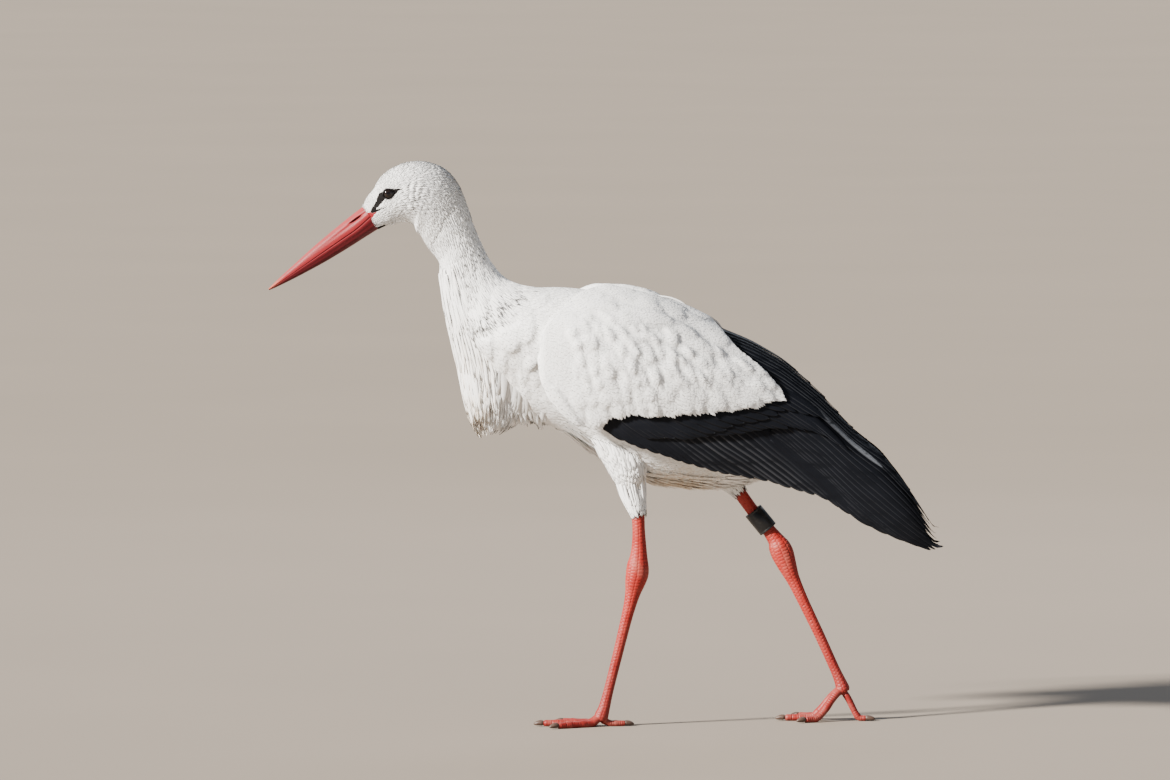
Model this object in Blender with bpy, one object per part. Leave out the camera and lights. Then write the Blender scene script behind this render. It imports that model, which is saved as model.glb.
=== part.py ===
"""A white stork at a walk, life size, standing on its own toes.

Frame: the bird faces -X, +Z is up and its left side is -Y. The origin lies on the ground, midway between
the tip of the bill and the tips of the wings. Sizes in the tables are millimetres.
"""

import math

import bpy
import bmesh
import numpy as np
from mathutils import Matrix, Vector

MM = 0.001
GAP = 0.3
LEFT, RIGHT = -1, 1
UNION_SOLVER = "MANIFOLD"
SIDE_NAMES = {LEFT: "left", RIGHT: "right"}

# Outline of head, neck, body and tail: x and z on the back, x and z on the underside, half width.
BODY = [
    (-315, 687, -293, 655, 14),
    (-310, 698, -285, 658, 18.5),
    (-302, 708, -277, 660, 22.5),
    (-293, 723, -269, 662, 25.5),
    (-280, 734, -261, 663, 27.5),
    (-263, 742, -255, 662, 29),
    (-244, 745, -249, 659, 30),
    (-227, 743, -246, 654, 30),
    (-211, 737, -241, 648, 29.5),
    (-198, 726, -236, 640, 28.5),
    (-187, 710, -230, 630, 27.5),
    (-178, 689, -223, 620, 27),
    (-170, 667, -217, 609, 27),
    (-160, 643, -214, 590, 28.5),
    (-147, 618, -211, 569, 32),
    (-129, 596, -203, 544, 39),
    (-108, 585, -193, 513, 50),
    (-84, 581, -178, 484, 62),
    (-59, 582, -156, 451, 74),
    (-33, 581, -122, 417, 84),
    (-7, 578, -82, 396, 89),
    (20, 572, -40, 376, 91),
    (50, 565, 4, 346, 90),
    (82, 553, 53, 320, 86),
    (119, 535, 106, 312, 79),
    (156, 515, 158, 311, 69),
    (193, 490, 205, 321, 57),
    (228, 463, 248, 339, 44),
    (261, 440, 281, 334, 36),
    (290, 414, 312, 325, 33),
    (330, 374, 340, 352, 25),
    (352, 354, 358, 342, 20),
]
KEEL = 0.12
HEAD_ENDS, NECK_HALF, NECK_ENDS, TORSO_ENDS, TAIL_CORE_ENDS = 9, 14, 18, 27, 31

# Envelope of the folded wings: x, top, widest height and lower edge, and half width.
WINGS = [
    (-102, 585, 519, 427, 84),
    (-82, 581, 512, 415, 95),
    (-55, 584, 503, 402, 104),
    (-22, 589, 493, 393, 110),
    (5, 590, 482, 387, 112.5),
    (30, 587, 472, 375, 113),
    (67, 579, 454, 362, 111),
    (112, 559, 441, 346, 105),
    (157, 537, 430, 333, 96),
    (199, 517, 421, 325, 86),
    (242, 490, 410, 313, 76),
    (288, 449, 384, 299, 67),
    (334, 400, 346, 271, 58),
    (374, 372, 315, 251, 50),
    (409, 326, 284, 236, 40),
    (441, 271, 248, 224, 26),
]
WING_TUCK = 0.2

# Core under the white coverts of a wing: x, and the angles of its upper and lower edges round the envelope.
COVERT_CORE = [
    (-91, 1, -14),
    (-84, 20, -39),
    (-74, 37, -59),
    (-58, 53, -76),
    (-36, 66, -85),
    (-3, 78, -84),
    (11, 82, -64),
    (40, 85, -46),
    (77, 85, -34),
    (114, 84, -22),
    (150, 72, -8),
    (176, 50, 8),
    (205, 36, 20),
]
# Core under the black flight feathers: the same.
FLIGHT_CORE = [
    (-22, -62, -84),
    (14, -30, -84),
    (40, 20, -84),
    (77, 60, -82),
    (112, 78, -80),
    (157, 80, -76),
    (200, 78, -70),
    (242, 70, -60),
    (285, 56, -42),
    (312, 40, -22),
]
COVERT_OUTER, COVERT_INNER = -5.0, -7.8
FLIGHT_OUTER, FLIGHT_INNER = -12.0, -14.4
# Feathers of a wing, from deep to shallow: how many, x and angle of the first and last root, the same of the
# tips, width, and height at the tip. The lengths of x are millimetres, the angles degrees.
FLIGHT_ROWS = {
    "primary": (5, (224, -40), (236, 12), (380, -82), (441, 2), 17, -9.7),
    "secondary": (6, (-44, -60), (226, -58), (40, -87), (350, -84), 19, -9.7),
    "greater covert": (5, (56, -30), (190, 26), (134, -52), (318, 20), 27, -8.9),
    "tertial": (3, (128, 74), (180, 46), (290, 78), (420, 34), 27, -8.9),
}
# White feathers of a wing: tips in tiers from front to back, each with x, the first and last angle and a count.
COVERT_TIERS = [
    (-30, 40, -58, 3),
    (20, 58, -68, 4),
    (72, 56, -50, 4),
    (124, 48, -34, 3),
    (172, 44, -14, 3),
    (238, 22, 22, 1),
]
COVERT = {"long": 58, "wide": 40, "fall": 8, "tip": -1.9, "root": -6.6}
SCAPULARS = [((-20, 74), (54, 85)), ((34, 82), (112, 84)), ((88, 82), (160, 80))]

# Long feathers of the breast: station and spread of a tier's roots, how many, and where its tips hang.
RUFF = [
    (16.7, 60, 6, -158, 379),
    (15.8, 52, 5, -172, 410),
    (15.0, 42, 4, -184, 448),
]
# Feathers of the underside: station, spread in degrees and count.
BELLY_LOCKS = [(19.0, 34, 3), (20.1, 30, 3), (21.3, 0, 1), (22.6, 13, 2), (24.0, 9, 2)]
# Tail feathers, from the outermost to the middle one: spread in millimetres, and height over the lowest.
TAIL_FEATHERS = [(-18, 0), (-12.5, 2.3), (-7.5, 4.6), (-2.5, 6.9)]

# Bill, from its base: distance along it, height of culmen, mouth line and underside, half width.
BILL_BASE, BILL_TIP = (-303.6, 670.6), (-440, 575)
BILL = [
    (0.6, 18, 2.0, -17.5, 13.5),
    (25, 17, -1.0, -16.3, 12),
    (50, 15.2, -1.0, -15.2, 10.2),
    (84, 12.2, -0.8, -12.8, 8),
    (119, 7.8, -0.6, -8.8, 5.6),
    (143, 4.7, -0.4, -5.4, 3.8),
    (160, 2.1, -0.2, -2.5, 2.0),
    (166.5, 0.9, 0.0, -1.0, 0.9),
]
NOSTRIL = {"along": 19, "height": 10.2, "long": 18.5, "high": 2.4, "deep": 2.6}
EYE = {"x": -281.6, "z": 702.7, "y": 19.8, "radius": 8.2}
LID = {"major": 6.4, "minor": 1.2, "y": 25.6}

# Legs from the body down: x, z, y, half depth and half width.
LEG_LEFT = {
    "thigh": [(15, 400, -34, 40, 20), (26, 368, -36, 34, 20), (34, 340, -40, 27, 18), (38, 318, -42, 20, 15),
              (43, 300, -43, 13.5, 12), (47, 284, -43, 10, 9.6)],
    "shank": [(47, 284, -43, 8.6, 8.2), (48, 261, -43, 8.2, 7.8), (48.5, 241, -42, 9.4, 8.2), (48, 225, -42, 11.5, 9.4)],
    "hock": [(48, 225, -42, 11.8, 9.6), (47, 214, -42, 14.2, 11.5), (46, 202, -42, 15, 12), (43, 189, -41.5, 13, 10.6),
             (40.5, 178, -41, 10.6, 8.4)],
    "tarsus": [(40.5, 178, -41, 10.4, 8.2), (37, 163, -41, 8.4, 6.8), (31, 139, -40.5, 7.2, 6), (21, 98, -39.5, 6.5, 5.4),
               (9, 50, -38.5, 6.4, 5.4), (3, 26, -38, 7.4, 6.6), (-1, 14, -38, 9, 9), (-3, 8, -38, 7, 7.5)],
}
LEG_RIGHT = {
    "thigh": [(106, 392, 32, 38, 16), (128, 366, 34, 30, 15), (150, 341, 39, 22, 14), (166, 324, 42, 15, 13),
              (180, 306, 43, 10, 9.6)],
    "shank": [(180, 306, 43, 8.6, 8.2), (198, 281, 43, 8.2, 8), (216, 259, 43, 8.4, 8.2), (229, 242, 42.5, 10.4, 9)],
    "hock": [(229, 242, 42, 10.8, 9.2), (234, 233, 42, 14, 11.5), (239, 222, 42, 15, 12), (245, 207, 41.5, 12.6, 10.4),
             (250, 195, 41, 10.4, 8.4)],
    "tarsus": [(250, 195, 41, 10.2, 8.2), (255, 184, 41, 8.6, 6.8), (267, 158, 40.5, 7.2, 6), (288, 114, 39.5, 6.5, 5.4),
               (307, 72, 38.5, 6.4, 5.4), (315, 54, 38, 7.4, 6.6), (319, 43, 38, 9, 9), (321, 38, 38, 7, 7.5)],
}
# Toes: name, way out from straight ahead in degrees, length, and radius at root and end.
TOES = [("middle", 0, 78, 6.2, 4.6), ("inner", 30, 60, 5.8, 4.4), ("outer", -30, 68, 5.8, 4.4), ("hind", 172, 32, 5.0, 4.0)]
TOE_START = 5.5
CLAW_LONG = 11
RING = {"at": (210, 266.5), "y": 43, "outer": 13, "inner": 10.6, "high": 32}

WHITE, CREAM, BLACK = (0.86, 0.86, 0.84), (0.82, 0.74, 0.62), (0.012, 0.013, 0.016)
RED, BILL_RED, DARK = (0.62, 0.07, 0.04), (0.55, 0.10, 0.09), (0.01, 0.01, 0.012)


def material(name, colour, roughness):
    made = bpy.data.materials.get(name) or bpy.data.materials.new(name)
    made.use_nodes = True
    shader = made.node_tree.nodes["Principled BSDF"]
    shader.inputs["Base Color"].default_value = (*colour, 1)
    shader.inputs["Roughness"].default_value = roughness
    shader.inputs["Metallic"].default_value = 0.0
    return made


def node(name, points, faces, look, smooth_angle=50):
    """One object from points in millimetres, with its faces turned outwards."""
    mesh = bpy.data.meshes.new(name)
    mesh.from_pydata([tuple(np.asarray(p, float) * MM) for p in points], [], faces)
    shaped = bmesh.new()
    shaped.from_mesh(mesh)
    bmesh.ops.recalc_face_normals(shaped, faces=shaped.faces)
    shaped.to_mesh(mesh)
    shaped.free()
    mesh.shade_smooth()
    mesh.set_sharp_from_angle(angle=math.radians(smooth_angle))
    made = bpy.data.objects.new(name, mesh)
    bpy.context.scene.collection.objects.link(made)
    made.data.materials.append(look)
    return made


def remove(obj):
    mesh = obj.data
    bpy.data.objects.remove(obj)
    bpy.data.meshes.remove(mesh)


def boolean(obj, others, operation, solver="EXACT"):
    """Joins the others to obj or cuts them from it, then keeps the largest closed surface."""
    tools = bpy.data.collections.new("tools")
    for other in others:
        tools.objects.link(other)
    change = obj.modifiers.new("change", "BOOLEAN")
    change.operand_type = "COLLECTION"
    change.collection = tools
    change.operation = operation
    change.solver = solver
    bpy.context.view_layer.update()
    graph = bpy.context.evaluated_depsgraph_get()
    changed = bpy.data.meshes.new_from_object(obj.evaluated_get(graph))
    obj.modifiers.clear()
    old = obj.data
    obj.data = changed
    bpy.data.meshes.remove(old)
    bpy.data.collections.remove(tools)
    for other in others:
        remove(other)
    keep_largest(obj)
    return obj


def keep_largest(obj):
    """Drops every closed surface of the mesh but the one round the most volume."""
    shaped = bmesh.new()
    shaped.from_mesh(obj.data)
    bmesh.ops.triangulate(shaped, faces=shaped.faces)
    shaped.faces.ensure_lookup_table()
    unseen, surfaces = set(shaped.faces), []
    while unseen:
        front, surface = [unseen.pop()], []
        while front:
            face = front.pop()
            surface.append(face)
            for edge in face.edges:
                for other in edge.link_faces:
                    if other in unseen:
                        unseen.remove(other)
                        front.append(other)
        surfaces.append(surface)

    def volume(surface):
        corners = [[v.co for v in face.verts] for face in surface]
        return sum(a.dot(b.cross(c)) for a, b, c in corners)

    surfaces.sort(key=volume)
    for surface in surfaces[:-1]:
        bmesh.ops.delete(shaped, geom=surface, context="FACES")
    shaped.to_mesh(obj.data)
    shaped.free()


def grown(obj, by=GAP + 0.05):
    """A copy of obj with its surface moved out, which cuts a neighbour clear of it."""
    mesh = obj.data.copy()
    normals = [v.normal.copy() for v in mesh.vertices]
    for vertex, normal in zip(mesh.vertices, normals):
        vertex.co += normal * by * MM
    made = bpy.data.objects.new("grown", mesh)
    bpy.context.scene.collection.objects.link(made)
    return made


def cut_clear(obj, neighbours, solver="EXACT"):
    for neighbour in neighbours:
        boolean(obj, [grown(neighbour)], "DIFFERENCE", solver)
    return obj


def at(rows, s):
    """The row at station s of a table, on a smooth curve through its rows."""
    rows = np.asarray(rows, float)
    i = int(min(max(math.floor(s), 0), len(rows) - 2))
    t = s - i
    before, after = rows[max(i - 1, 0)], rows[min(i + 2, len(rows) - 1)]
    a, b = rows[i], rows[i + 1]
    slope_a, slope_b = (b - before) / 2, (after - a) / 2
    return (
        a * (2 * t**3 - 3 * t**2 + 1)
        + slope_a * (t**3 - 2 * t**2 + t)
        + b * (3 * t**2 - 2 * t**3)
        + slope_b * (t**3 - t**2)
    )


def at_x(rows, x):
    """The row of a table at a given first column, on straight lines between its rows."""
    rows = np.asarray(rows, float)
    return np.array([np.interp(x, rows[:, 0], column) for column in rows.T])


def loft(name, rings, look, smooth_angle=50):
    """A closed solid through rings of equal count, with flat ends."""
    count = len(rings[0])
    points = [p for ring in rings for p in ring]
    faces = [tuple(range(count)), tuple(range(len(points) - count, len(points)))]
    for r in range(len(rings) - 1):
        for k in range(count):
            after = (k + 1) % count
            faces.append((r * count + k, r * count + after, (r + 1) * count + after, (r + 1) * count + k))
    return node(name, points, faces, look, smooth_angle)


def slab(name, outer, inner, look):
    """A closed sheet between two grids of points, with both faces split into triangles alike."""
    rows, columns = len(outer), len(outer[0])
    points = [p for row in outer for p in row] + [p for row in inner for p in row]
    below = rows * columns
    faces = []
    for r in range(rows - 1):
        for c in range(columns - 1):
            a, b = r * columns + c, r * columns + c + 1
            d, e = a + columns, b + columns
            for triangle in ((a, b, e), (a, e, d)):
                faces.append(triangle)
                faces.append(tuple(k + below for k in reversed(triangle)))
    rim = [c for c in range(columns)]
    rim += [r * columns + columns - 1 for r in range(1, rows)]
    rim += [(rows - 1) * columns + c for c in range(columns - 2, -1, -1)]
    rim += [r * columns for r in range(rows - 2, 0, -1)]
    for a, b in zip(rim, rim[1:] + rim[:1]):
        faces.append((a, b, b + below, a + below))
    return node(name, points, faces, look, smooth_angle=35)


def body_point(s, turn, out=0.0):
    """A point of the body at a station and a turn in degrees from the back, moved out."""
    back_x, back_z, under_x, under_z, half = at(BODY, s)
    centre = np.array([(back_x + under_x) / 2, 0, (back_z + under_z) / 2])
    up = np.array([(back_x - under_x) / 2, 0, (back_z - under_z) / 2])
    turn = math.radians(turn)
    slim = KEEL * min(max((s - NECK_ENDS) / 2, 0), 1) * max(-math.cos(turn), 0)
    across = half * (1 - slim) + out
    return centre + up * (1 + out / np.linalg.norm(up)) * math.cos(turn) + np.array([0, across * math.sin(turn), 0])


def body_ring(s, sides):
    return [body_point(s, 360 * k / sides) for k in range(sides)]


def body_piece(name, first, last, per_station, sides, look):
    """The body between two stations, held half a gap off each cut."""
    count = round((last - first) * per_station)
    stations = [first + (last - first) * k / count for k in range(count + 1)]
    rings = [body_ring(s, sides) for s in stations]
    for end, inside in ((0, 1), (-1, -2)):
        along = np.mean(rings[inside], 0) - np.mean(rings[end], 0)
        along *= (GAP / 2 + 0.05) / np.linalg.norm(along)
        rings[end] = [p + along for p in rings[end]]
    return loft(name, rings, look)


def wing_point(x, angle, height, side):
    """A point of the wings' envelope at x, at an angle in degrees above its widest line, moved out by height."""
    def on_envelope(x, angle):
        _, top, middle, lower, half = at_x(WINGS, x)
        if angle >= 0:
            turn = math.radians(angle)
            return np.array([x, half * math.cos(turn), middle + (top - middle) * math.sin(turn)])
        down = -angle / 90
        return np.array([x, half * (1 - WING_TUCK * down * down), middle - (middle - lower) * down])

    point = on_envelope(x, angle)
    along = on_envelope(x + 2, angle) - on_envelope(x - 2, angle)
    across = on_envelope(x, angle + 1) - on_envelope(x, angle - 1)
    out = np.cross(along, across)
    out /= np.linalg.norm(out)
    if out[1] < 0 and angle < 80 or out[2] < 0 and angle >= 80:
        out = -out
    point = point + out * height
    return np.array([point[0], side * max(point[1], 0.6), point[2]])


def wing_sheet(name, edges, outer_height, inner_height, side, look, rows, columns):
    """The closed core under a wing's feathers, between its two edges."""
    xs = np.interp(np.linspace(0, 1, rows), np.linspace(0, 1, len(edges)), [e[0] for e in edges])
    outer, inner = [], []
    for x in xs:
        _, upper, lower = at_x(edges, x)
        line = np.linspace(upper, lower, columns)
        crown = 1 - np.linspace(-1, 1, columns) ** 4
        outer.append([wing_point(x, a, outer_height - 0.9 * (1 - c) + rise(x), side) for a, c in zip(line, crown)])
        inner.append([wing_point(x, a, inner_height + rise(x), side) for a in line])
    return slab(name, outer, inner, look)


def rise(x):
    """Behind the body the flight feathers come out towards the envelope."""
    return 4.5 * min(max((x - 243) / 150, 0), 1)


def wing_steps(x, angle, height, side, way):
    """Steps in x and angle that move one millimetre across a feather that runs the given way."""
    here = wing_point(x, angle, height, side)
    along_x = (wing_point(x + 1, angle, height, side) - here)
    along_angle = wing_point(x, angle + 1, height, side) - here
    ahead = unit(along_x * way[0] + along_angle * way[1])
    out = unit(np.cross(along_x, along_angle))
    across = np.cross(out, ahead)
    if across @ along_angle < 0:
        across = -across
    steps, *_ = np.linalg.lstsq(np.array([along_x, along_angle]).T, across, rcond=None)
    return steps


# Width, height from root to tip and thickness of a feather along its length.
FLIGHT_SHAPE = [(0.0, 0.6, 0.0, 1.0), (0.3, 0.95, 0.55, 0.9), (0.84, 0.85, 1.0, 0.65), (1.0, 0.25, 1.0, 0.4)]
COVERT_SHAPE = [(0.0, 0.6, 0.0, 1.2), (0.45, 0.95, 0.6, 1.0), (0.8, 0.82, 0.95, 0.75), (1.0, 0.34, 1.0, 0.5)]


def wing_vane(root, tip, wide, root_height, tip_height, side, look, tilt, shape):
    """One feather on the wing's envelope, with its upper edge lower than its lower one."""
    root, tip = np.array(root, float), np.array(tip, float)
    outer, inner = [], []
    for along, width, lift, thick in shape:
        x, angle = root + (tip - root) * along
        height = root_height + (tip_height - root_height) * lift + rise(x)
        steps = wing_steps(x, angle, height, side, tip - root)
        above, below = [], []
        for across in (-1, 0, 1):
            offset = across * width * wide / 2
            place = np.array([x, angle]) + steps * offset
            place[1] = min(max(place[1], -90), 88)
            bow = 0.2 if across == 0 else 0
            leaned = height - offset * tilt * min(lift * 2, 1)
            above.append(wing_point(place[0], place[1], leaned + bow, side))
            below.append(wing_point(place[0], place[1], leaned + bow - thick, side))
        outer.append(above)
        inner.append(below)
    return slab("vane", outer, inner, look)


def lock(path, flat, wide, thick, look):
    """A flat tapered lock of feathers along a path; flat is the way across it."""
    rings = []
    for k, centre in enumerate(path):
        ahead = unit(path[min(k + 1, len(path) - 1)] - path[max(k - 1, 0)])
        across = unit(flat - ahead * (flat @ ahead))
        out = np.cross(across, ahead)
        along = k / (len(path) - 1)
        half = wide / 2 * (0.8 + 0.8 * along - 1.45 * along * along)
        deep = thick / 2 * (1 - 0.78 * along)
        rings.append([centre + across * half, centre + out * deep, centre - across * half, centre - out * deep])
    return loft("lock", rings, look, smooth_angle=30)


def bend(start, middle, end, count):
    """Points on a curve that leaves start towards middle and ends at end."""
    times = np.linspace(0, 1, count)
    return [start * (1 - t) ** 2 + middle * 2 * t * (1 - t) + end * t * t for t in times]


def bill_frame():
    base, tip = np.array(BILL_BASE), np.array(BILL_TIP)
    along = (tip - base) / np.linalg.norm(tip - base)
    up = np.array([along[1], -along[0]])
    return base, along, up if up[1] > 0 else -up


def bill_point(along_by, y, height):
    base, along, up = bill_frame()
    x, z = base + along * along_by + up * height
    return np.array([x, y, z])


def mandible(name, upper, look):
    """One half of the bill: round outside and flat on the mouth line."""
    turns = [math.pi * k / 8 for k in range(9)]
    rings = []
    for s in np.linspace(0, len(BILL) - 1, 11):
        along_by, culmen, mouth, under, half = at(BILL, s)
        flat = mouth + (GAP / 2 + 0.05) * (1 if upper else -1)
        reach = culmen - flat if upper else under - flat
        rings.append([bill_point(along_by, half * math.cos(t), flat + reach * math.sin(t) ** 0.85) for t in turns])
    return loft(name, rings, look, smooth_angle=60)


def ball(name, centre, radii, look, turned=0.0, segments=12, rings=8):
    mesh = bpy.data.meshes.new(name)
    shaped = bmesh.new()
    bmesh.ops.create_uvsphere(shaped, u_segments=segments, v_segments=rings, radius=1)
    place = Matrix.Translation(Vector(centre) * MM) @ Matrix.Rotation(turned, 4, "Y")
    place = place @ Matrix.Diagonal((*(r * MM for r in radii), 1))
    bmesh.ops.transform(shaped, matrix=place, verts=shaped.verts)
    shaped.to_mesh(mesh)
    shaped.free()
    mesh.shade_smooth()
    made = bpy.data.objects.new(name, mesh)
    bpy.context.scene.collection.objects.link(made)
    made.data.materials.append(look)
    return made


def ring_of_lid(side, look):
    """The rim of the lids round one eye."""
    rings = []
    for k in range(10):
        turn = 2 * math.pi * k / 10
        out = np.array([math.cos(turn), 0, math.sin(turn)])
        centre = np.array([EYE["x"], side * LID["y"], EYE["z"]]) + out * LID["major"]
        sides = [2 * math.pi * j / 4 for j in range(4)]
        rings.append([centre + LID["minor"] * (out * math.cos(s) + np.array([0, math.sin(s), 0])) for s in sides])
    points = [p for ring in rings for p in ring]
    faces = []
    for r in range(10):
        for k in range(4):
            nxt, after = (r + 1) % 10, (k + 1) % 4
            faces.append((r * 4 + k, r * 4 + after, nxt * 4 + after, nxt * 4 + k))
    return node("lid", points, faces, look)


def gape(side, look):
    """The cutter of the mouth's corner, in line with the bill's mouth line."""
    return ball("gape", (-292, side * 24.5, 678.6), (10, 4, 0.9), look, math.radians(-20), 8, 5)


def make_head(white, dark):
    head = body_piece("head", 0, HEAD_ENDS, 1.5, 16, white)
    boolean(head, [ring_of_lid(side, white) for side in (LEFT, RIGHT)], "UNION")
    boolean(head, [gape(side, white) for side in (LEFT, RIGHT)], "DIFFERENCE")
    for side in (LEFT, RIGHT):
        centre = (EYE["x"], side * EYE["y"], EYE["z"])
        eye = ball("eye_" + SIDE_NAMES[side], centre, [EYE["radius"]] * 3, dark, 0, 10, 7)
        boolean(head, [grown(eye)], "DIFFERENCE")
    return head


def make_bill(look):
    upper = mandible("bill_upper", True, look)
    slits = []
    _, along, _ = bill_frame()
    for side in (LEFT, RIGHT):
        centre = bill_point(NOSTRIL["along"], side * 11.2, NOSTRIL["height"])
        radii = (NOSTRIL["long"] / 2, NOSTRIL["deep"], NOSTRIL["high"] / 2)
        slits.append(ball("slit", centre, radii, look, math.atan2(along[1], -along[0]), 10, 6))
    boolean(upper, slits, "DIFFERENCE")
    mandible("bill_lower", False, look)


def limb_ring(row, ahead, sides):
    x, z, y, depth, width = row
    fore = np.array([ahead[1], 0, -ahead[0]])
    turns = [2 * math.pi * k / sides for k in range(sides)]
    return [np.array([x, y, z]) + fore * depth * math.cos(t) + np.array([0, width * math.sin(t), 0]) for t in turns]


def unit(vector):
    return np.asarray(vector, float) / np.linalg.norm(vector)


def limb(name, rows, ends, look, sides=10, per_station=2):
    """A length of leg through its stations, with rings square to its path and ends half a gap off each joint."""
    count = (len(rows) - 1) * per_station
    stations = [at(rows, k / per_station) for k in range(count + 1)]
    rings = []
    for k, row in enumerate(stations):
        before, after = stations[max(k - 1, 0)], stations[min(k + 1, count)]
        ahead = unit(after[:2] - before[:2])
        if k in (0, count) and ends[k // count] is not None:
            ahead = ends[k // count]
            row = row.copy()
            row[:2] += ahead * (GAP / 2 + 0.05) * (1 if k == 0 else -1)
        rings.append(limb_ring(row, ahead, sides))
    return loft(name, rings, look)


def joint_way(above, below):
    """The way through the joint between two lengths of leg."""
    into = unit(np.subtract(above[-1][:2], above[-2][:2]))
    out = unit(np.subtract(below[1][:2], below[0][:2]))
    return unit(into + out)


def toe_path(joint, heading, length, radius, root_height):
    """Points down from the foot joint to the ground and along it, for one toe."""
    ahead = np.array([-math.cos(heading), -math.sin(heading)])
    fall = min(0.95 * max(root_height - radius, 0) + 10, 0.75 * length)
    path = []
    for k in range(6):
        along = TOE_START + (length - TOE_START) * k / 5
        drop = min(along / fall, 1)
        height = root_height + (radius - root_height) * (3 * drop**2 - 2 * drop**3)
        path.append(np.array([joint[0] + ahead[0] * along, joint[1] + ahead[1] * along, height]))
    return path


def tube(name, path, radii, look, sides=6, ground=True):
    """A round piece along a path, flat where it meets the ground."""
    rings = []
    for k, centre in enumerate(path):
        ahead = path[min(k + 1, len(path) - 1)] - path[max(k - 1, 0)]
        ahead /= np.linalg.norm(ahead)
        across = np.cross(ahead, [0, 0, 1.0])
        across /= np.linalg.norm(across)
        up = np.cross(across, ahead)
        turns = [2 * math.pi * (j + 0.5) / sides for j in range(sides)]
        ring = [centre + radii[k] * (up * math.cos(t) + across * 1.1 * math.sin(t)) for t in turns]
        if ground:
            ring = [np.array([p[0], p[1], max(p[2], 0.0)]) for p in ring]
        rings.append(ring)
    return loft(name, rings, look)


def make_foot(side, tarsus, joint, root_height, red, horn):
    """Four toes, each cut clear of the leg and of the toes before it, and their claws."""
    made = [tarsus]
    for toe, spread, length, root, end in TOES:
        heading = math.radians(spread * side)
        lift = root_height
        if toe == "hind":
            lift = root_height - 4
        path = toe_path((joint[0], joint[1]), heading, length, end * 0.92, lift)
        radii = [root + (end - root) * k / 5 for k in range(6)]
        piece = tube(f"toe_{toe}_{SIDE_NAMES[side]}", path, radii, red)
        cut_clear(piece, made[:1] if toe == "hind" else made, "MANIFOLD")
        made.append(piece)
        ahead = unit((path[-1] - path[-2]) * np.array([1, 1, 0]))
        claw = [path[-1] + ahead * (GAP + 0.1 + CLAW_LONG * k / 2) for k in range(3)]
        claw = [p + np.array([0, 0, 0.5 - 0.5 * k * k]) for k, p in enumerate(claw)]
        tube(f"claw_{toe}_{SIDE_NAMES[side]}", claw, [3.6, 2.7, 0.9], horn, sides=5)


def thigh_locks(side, rows, white):
    """Feathers that hang round the lower end of a thigh."""
    x, z, y, depth, width = rows[-2]
    ahead = unit(np.subtract(rows[-1][:2], rows[-2][:2]))
    before = unit(np.subtract(rows[-2][:2], rows[-4][:2]))
    fore = np.array([ahead[1], 0, -ahead[0]])
    locks = []
    for k in range(6):
        turn = 2 * math.pi * (k + 0.5) / 6
        out = unit(fore * math.cos(turn) + np.array([0, math.sin(turn), 0]))
        reach = math.hypot(depth * math.cos(turn), width * math.sin(turn))
        start = np.array([x, y, z]) + out * (reach - 1) - np.array([before[0], 0, before[1]]) * (16 if side == LEFT else 7)
        end = np.array([x, y, z]) + out * 11.5 + np.array([ahead[0], 0, ahead[1]]) * (26 + 6 * (k % 3))
        middle = np.array([x, y, z]) + out * (reach + 3)
        locks.append(lock(bend(start, middle, end, 4), np.cross(out, [0, 0, 1.0]), 15, 4, white))
    return locks


def make_leg(side, table, white, red, horn, torso, smooth):
    name = SIDE_NAMES[side]
    knee = joint_way(table["thigh"], table["shank"])
    upper = joint_way(table["shank"], table["hock"])
    lower = joint_way(table["hock"], table["tarsus"])
    thigh = limb(f"thigh_{name}", table["thigh"], (None, knee), white, sides=12, per_station=1)
    boolean(thigh, thigh_locks(side, table["thigh"], white), "UNION", UNION_SOLVER)
    shank = limb(f"shank_{name}", table["shank"], (knee, upper), red)
    cut_clear(thigh, [smooth, shank])
    cut_clear(torso, [thigh])
    limb(f"hock_{name}", table["hock"], (upper, lower), red, sides=12)
    tarsus = limb(f"tarsus_{name}", table["tarsus"], (lower, None), red)
    x, z, y, _, _ = table["tarsus"][-2]
    make_foot(side, tarsus, (x, y), z - 2, red, horn)


def make_leg_ring(dark):
    """The marking ring above the right hock: a plain tube round the shank."""
    rows = LEG_RIGHT["shank"]
    ahead = np.array([rows[2][0] - rows[1][0], rows[2][1] - rows[1][1]], float)
    ahead /= np.linalg.norm(ahead)
    fore = np.array([ahead[1], 0, -ahead[0]])
    sides = [2 * math.pi * k / 18 for k in range(18)]
    profile = [(RING["outer"], -0.5), (RING["outer"], 0.5), (RING["inner"], 0.5), (RING["inner"], -0.5)]
    points, faces = [], []
    for turn in sides:
        for radius, along in profile:
            centre = np.array([RING["at"][0], RING["y"], RING["at"][1]])
            centre = centre + np.array([ahead[0], 0, ahead[1]]) * along * RING["high"]
            points.append(centre + radius * (fore * math.cos(turn) + np.array([0, math.sin(turn), 0])))
    for k in range(18):
        after = (k + 1) % 18
        for j in range(4):
            nxt = (j + 1) % 4
            faces.append((k * 4 + j, k * 4 + nxt, after * 4 + nxt, after * 4 + j))
    return node("leg_ring", points, faces, dark)


def between(first, last, k, count):
    first, last = np.array(first, float), np.array(last, float)
    return first + (last - first) * k / max(count - 1, 1)


def make_flight(side, torso, black):
    """Primaries, secondaries, greater coverts and tertials of one folded wing, on their core."""
    name = f"flight_{SIDE_NAMES[side]}"
    core = wing_sheet(name, FLIGHT_CORE, FLIGHT_OUTER, FLIGHT_INNER, side, black, 10, 5)
    cut_clear(core, [torso])
    vanes = []
    for count, first_root, last_root, first_tip, last_tip, wide, tip_height in FLIGHT_ROWS.values():
        for k in range(count):
            root = between(first_root, last_root, k, count)
            tip = between(first_tip, last_tip, k, count)
            vanes.append(wing_vane(root, tip, wide, -13.3, tip_height, side, black, 0.11, FLIGHT_SHAPE))
    return boolean(core, vanes, "UNION", UNION_SOLVER)


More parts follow.
